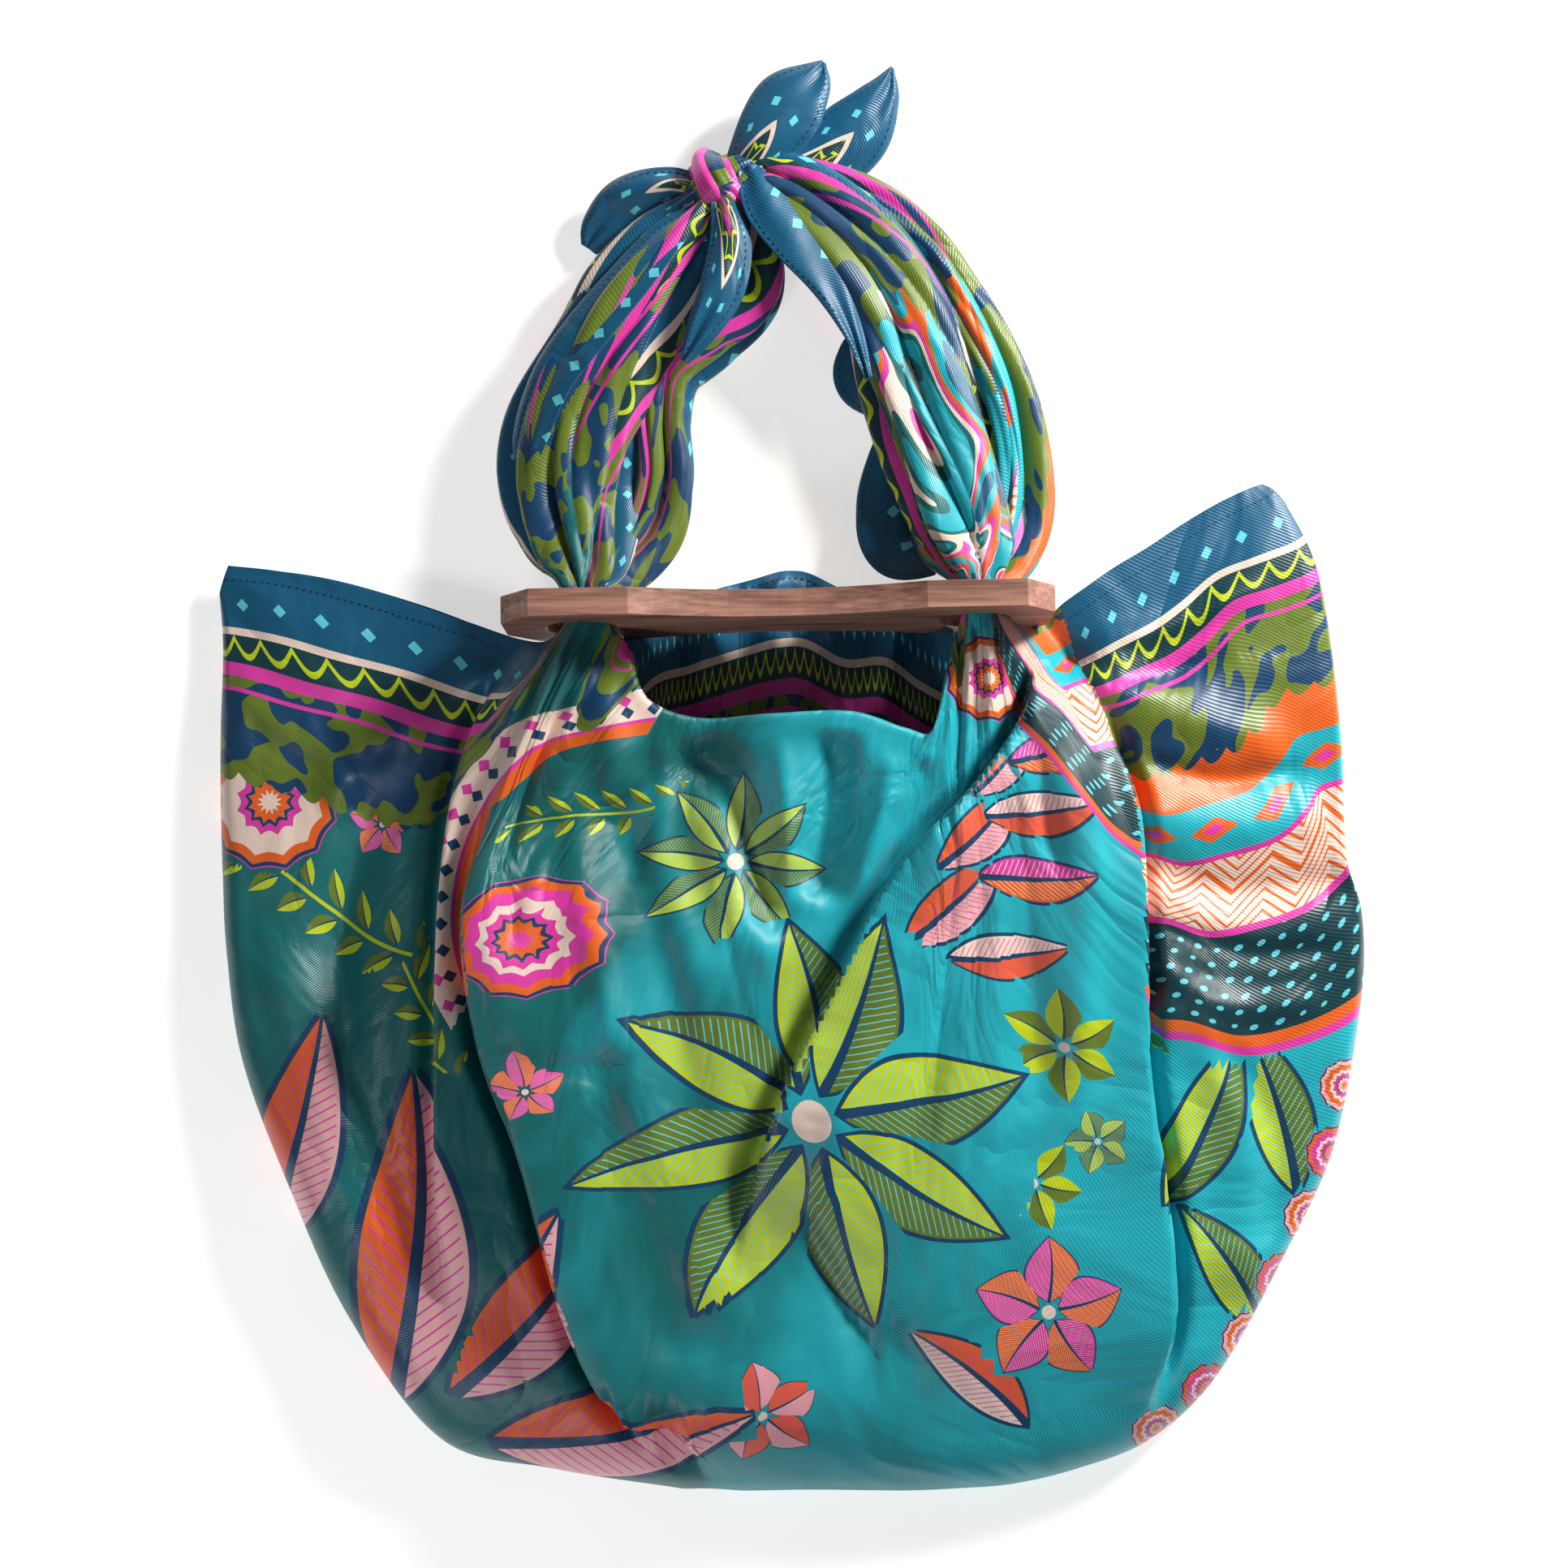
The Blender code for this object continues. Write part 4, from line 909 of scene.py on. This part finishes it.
def printed_silk():
    made, shader = material("silk_twill_print", Roughness=0.40, Sheen_Weight=0.12, Sheen_Roughness=0.4)
    tree = made.node_tree

    places = add(tree, "UVMap uv_map=flat")
    u, v, _ = add(tree, "SeparateXYZ", places)
    edge_u = add(tree, MINIMUM, u, PRINT_LONG - u)
    edge_v = add(tree, MINIMUM, v, SCARF - v)
    inset = add(tree, MINIMUM, edge_u, edge_v)
    on_side = edge_u < edge_v
    run = add(tree, "Mix", on_side, u, v)

    mottle = add(tree, "TexNoise", places, Scale=9.0, Detail=3.0)
    # The ground turns from teal to brighter turquoise towards the scarf's right side. Part of this is the
    # print's own ground, and part is painted light: a brighter right side where the light falls.
    fade = u * 1.5 - v * 0.5
    colour = add(tree, MIX, add(tree, "MapRange", mottle * 1.1 + fade, 1.12, 1.5), TEAL, TURQUOISE)
    drawn, motif_colour, outline = motif_layers(tree)
    colour = add(tree, MIX, outline, colour, NAVY)
    colour = add(tree, MIX, drawn, colour, motif_colour)

    pebbles = add(tree, "TexNoise", places, Scale=58.0, Detail=0.0, Distortion=0.7)
    olive_band = add(tree, MIX, pebbles > 0.53, OLIVE, NAVY)
    patches = add(tree, "TexNoise", places, Scale=17.0, Detail=1.0, Distortion=1.2)
    patchwork = add(tree, "ValToRGB", patches)
    ramp = patchwork.node.color_ramp
    ramp.interpolation = "CONSTANT"
    ramp.elements[0].color = TURQUOISE
    ramp.elements[1].position, ramp.elements[1].color = 0.62, DEEP_TEAL
    for place, dye in ((0.4, TEAL), (0.44, CREAM), (0.475, PINK), (0.515, ORANGE), (0.555, TURQUOISE)):
        ramp.elements.new(place).color = dye
    corner_u = PRINT_LONG - u
    from_corner = add(tree, SQRT, corner_u * corner_u + v * v)
    patch = (from_corner < 0.287) * (from_corner > 0.125)

    wave = abs(add(tree, SINE, run * (math.pi / 0.014)))
    scallop = abs(inset - (wave * 0.008 + 0.0325))
    scallop_band = add(tree, MIX, scallop < 0.0015, DARK_TEAL, LIME)

    across = abs(add(tree, FRACT, run / 0.018) - 0.5) * 0.018
    off = abs(inset - 0.0165)
    hem_band = add(tree, MIX, across + off < 0.003, DEEP_TEAL, AQUA)

    right = PRINT_LONG - u < inset + 0.0001
    beads = abs(add(tree, FRACT, run / 0.03) - 0.5) * 0.03
    lozenge = beads * 0.55 + abs(inset - 0.1335)
    lozenge_band = add(tree, MIX, lozenge < 0.0065, TURQUOISE, ORANGE)
    lozenge_band = add(tree, MIX, lozenge < 0.003, lozenge_band, PINK)
    chevron = abs(inset - 0.1545 - beads)
    cream_band = add(tree, MIX, add(tree, FRACT, chevron / 0.0055) < 0.28, CREAM, ORANGE)
    dots = add(tree, "TexVoronoi", places, Scale=110.0, Randomness=0.15)
    bead_band = add(tree, MIX, dots["Distance"] < 0.2, DARK_TEAL, AQUA)
    # Each band reaches in to its limit, in metres from the hem, and the bands after it lie over it.
    for limit, band in ((0.262, PINK), (0.257, ORANGE), (0.25, bead_band), (0.192, PINK), (0.188, cream_band),
                        (0.15, PINK), (0.147, lozenge_band), (0.12, ORANGE)):
        colour = add(tree, MIX, right * (inset < limit), colour, band)

    colour = add(tree, MIX, patch, colour, patchwork)
    edge = abs(add(tree, SINE, run * (math.pi / 0.012))) * 0.005 + 0.095
    for limit, band in ((edge, olive_band), (0.0575, PINK), (0.0555, olive_band), (0.0505, PINK),
                        (0.044, scallop_band), (0.031, CREAM), (0.0275, hem_band)):
        colour = add(tree, MIX, inset < limit, colour, band)
    tree.links.new(colour.socket, shader.inputs["Base Color"])

    rib = add(tree, SINE, (u + v * 0.8) * (2 * math.pi / RIB_PITCH))
    slub = add(tree, "TexNoise", places, Scale=60.0, Detail=3.0)
    height = slub * 1.6 + rib * 0.3
    crumple = add(tree, "TexNoise", places, Scale=13.0, Detail=3.0, Distortion=0.6)
    soft = add(tree, "Bump", Strength=0.55, Distance=0.012, Height=abs(crumple - 0.5))
    weave = add(tree, "Bump", Strength=0.35, Distance=0.0004, Height=height, Normal=soft)
    tree.links.new(weave.socket, shader.inputs["Normal"])
    return made


silk = printed_silk()
cloth_pieces = [pouch, *wraps, *strands, *tails]
for piece in cloth_pieces:
    piece.data.materials.append(silk)

# %% [markdown]
# ## The board
# Walnut, cut, sanded and oiled: a matt, pinkish brown with fine grain along the board. The frame's own
# solid has the right shape, so it stays and only takes this finish.

# %% Finish the board
def oiled_walnut():
    made, shader = material("oiled_walnut", Roughness=0.55)
    tree = made.node_tree
    place = add(tree, "TexCoord")["Object"]
    grain = add(tree, "TexNoise", add(tree, "Mapping", place, Scale=(9.0, 190.0, 150.0)), Scale=3.0, Detail=6.0,
                Roughness=0.6)
    figure = add(tree, "TexNoise", add(tree, "Mapping", place, Scale=(3.0, 22.0, 16.0)), Scale=4.0, Detail=3.0,
                 Distortion=0.8)
    dyed = add(tree, "ValToRGB", figure * 0.55 + grain * 0.5)
    for element, position, dye in zip(dyed.node.color_ramp.elements, (0.4, 0.66), ("#6E4A3E", "#B98573")):
        element.position, element.color = position, linear(dye)
    bump = add(tree, "Bump", Strength=0.25, Distance=0.0002, Height=grain)
    tree.links.new(dyed.socket, shader.inputs["Base Color"])
    tree.links.new(bump.socket, shader.inputs["Normal"])
    return made


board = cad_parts["wood_bar"]
board.data.materials.clear()
board.data.materials.append(oiled_walnut())

# %% [markdown]
# ## Hem stitches
# The hems are rolled and sewn with dark blue thread, in short stitches three millimetres from the edge.
# Each seam is a line just above the cloth, and a small Geometry Nodes tree sets stitches along all of them.

# %% Sew the hems
STITCH_PITCH = 3.2
STITCH_LONG = 2.1
STITCH_WIDE = 0.42
SEAM_INSET = 3.4


def seam_lines():
    """The seams, each a line of points in millimetres just above the cloth."""
    lines = []
    for start, stop in ((0.15, 5.0), (26.8, 33.85)):
        at = np.linspace(start, stop, 120)
        row = column_values(at)
        long = np.hypot(row.rim_x - row.front_x, row.rim_y - row.front_y)
        line = front_layer(at, np.minimum(SEAM_INSET * 1.4 / long, 0.3))[:, 0]
        lines.append(line)
    at = np.linspace(13.4, 18.4, 60)
    row = column_values(at)
    long = np.hypot(row.rim_x - row.back_x, row.rim_y - row.back_y)
    lines.append(back_layer(at, SEAM_INSET / long)[:, 0])
    for tail in TAILS:
        last = len(tail.sections) - 1
        at = np.linspace(0.4, last - 0.25, 70)
        half = np.maximum(spread(tail.sections, at)[:, 3], 0.6)
        sides = (-1, 1) if tail.hem_side == BOTH else (tail.hem_side,)
        for side in sides:
            across = side * np.maximum(1 - 2.6 / half, 0.35)[:, None]
            lines.append(tail_grid(tail, at, across)[0][:, 0])
    return lines


def stitch_tree(thread):
    tree = bpy.data.node_groups.new("stitches", "GeometryNodeTree")
    tree.interface.new_socket("Geometry", in_out="INPUT", socket_type="NodeSocketGeometry")
    pitch = tree.interface.new_socket("Pitch", in_out="INPUT", socket_type="NodeSocketFloat")
    tree.interface.new_socket("Geometry", in_out="OUTPUT", socket_type="NodeSocketGeometry")
    start = add(tree, "NodeGroupInput")
    spaced = add(tree, "GeometryNodeResampleCurve mode=LENGTH", Curve=start["Geometry"], Length=start["Pitch"])
    turn = add(tree, "FunctionNodeAlignRotationToVector axis=X", Vector=add(tree, "GeometryNodeInputTangent"))
    stitch = add(tree, "GeometryNodeMeshIcoSphere", Radius=0.5 * MM, Subdivisions=1)
    placed = add(tree, "GeometryNodeInstanceOnPoints", Points=spaced, Instance=stitch, Rotation=turn,
                 Scale=(STITCH_LONG, STITCH_WIDE, STITCH_WIDE))
    real = add(tree, "GeometryNodeRealizeInstances", placed)
    add(tree, "NodeGroupOutput", add(tree, "GeometryNodeSetMaterial", Geometry=real, Material=thread))
    return tree, pitch.identifier


def sew_hems():
    thread, _ = material("polyester_thread", Base_Color=linear("#0A2C48"), Roughness=0.6)
    curve = bpy.data.curves.new("seams", "CURVE")
    curve.dimensions = "3D"
    for line in seam_lines():
        spline = curve.splines.new("POLY")
        spline.points.add(len(line) - 1)
        lifted = (line + [0, 0, 0.45]) * MM
        spline.points.foreach_set("co", np.hstack([lifted, np.ones((len(line), 1))]).ravel())
    seams = stand("seams", curve)
    tree, pitch = stitch_tree(thread)
    made = seams.modifiers.new("stitches", "NODES")
    made.node_group = tree
    made[pitch] = STITCH_PITCH * MM
    bpy.context.view_layer.update()
    mesh = bpy.data.meshes.new_from_object(seams.evaluated_get(bpy.context.evaluated_depsgraph_get()))
    bpy.data.objects.remove(seams)
    return stand("hem_stitches", mesh)


stitches = sew_hems()
print("stitches:", len(stitches.data.polygons), "faces")

# %% [markdown]
# ## Rides
# The floor isn't part of the bag. Everything rides on the one body, and the frame's own scarf solid is hidden.
# The
# scarf is one sheet of 900 mm square: the pouch, with its corners, loose ends, knot and stitches on it.

# %% Finish
for piece in [*cloth_pieces, stitches]:
    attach(piece, "root")
    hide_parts("scarf")
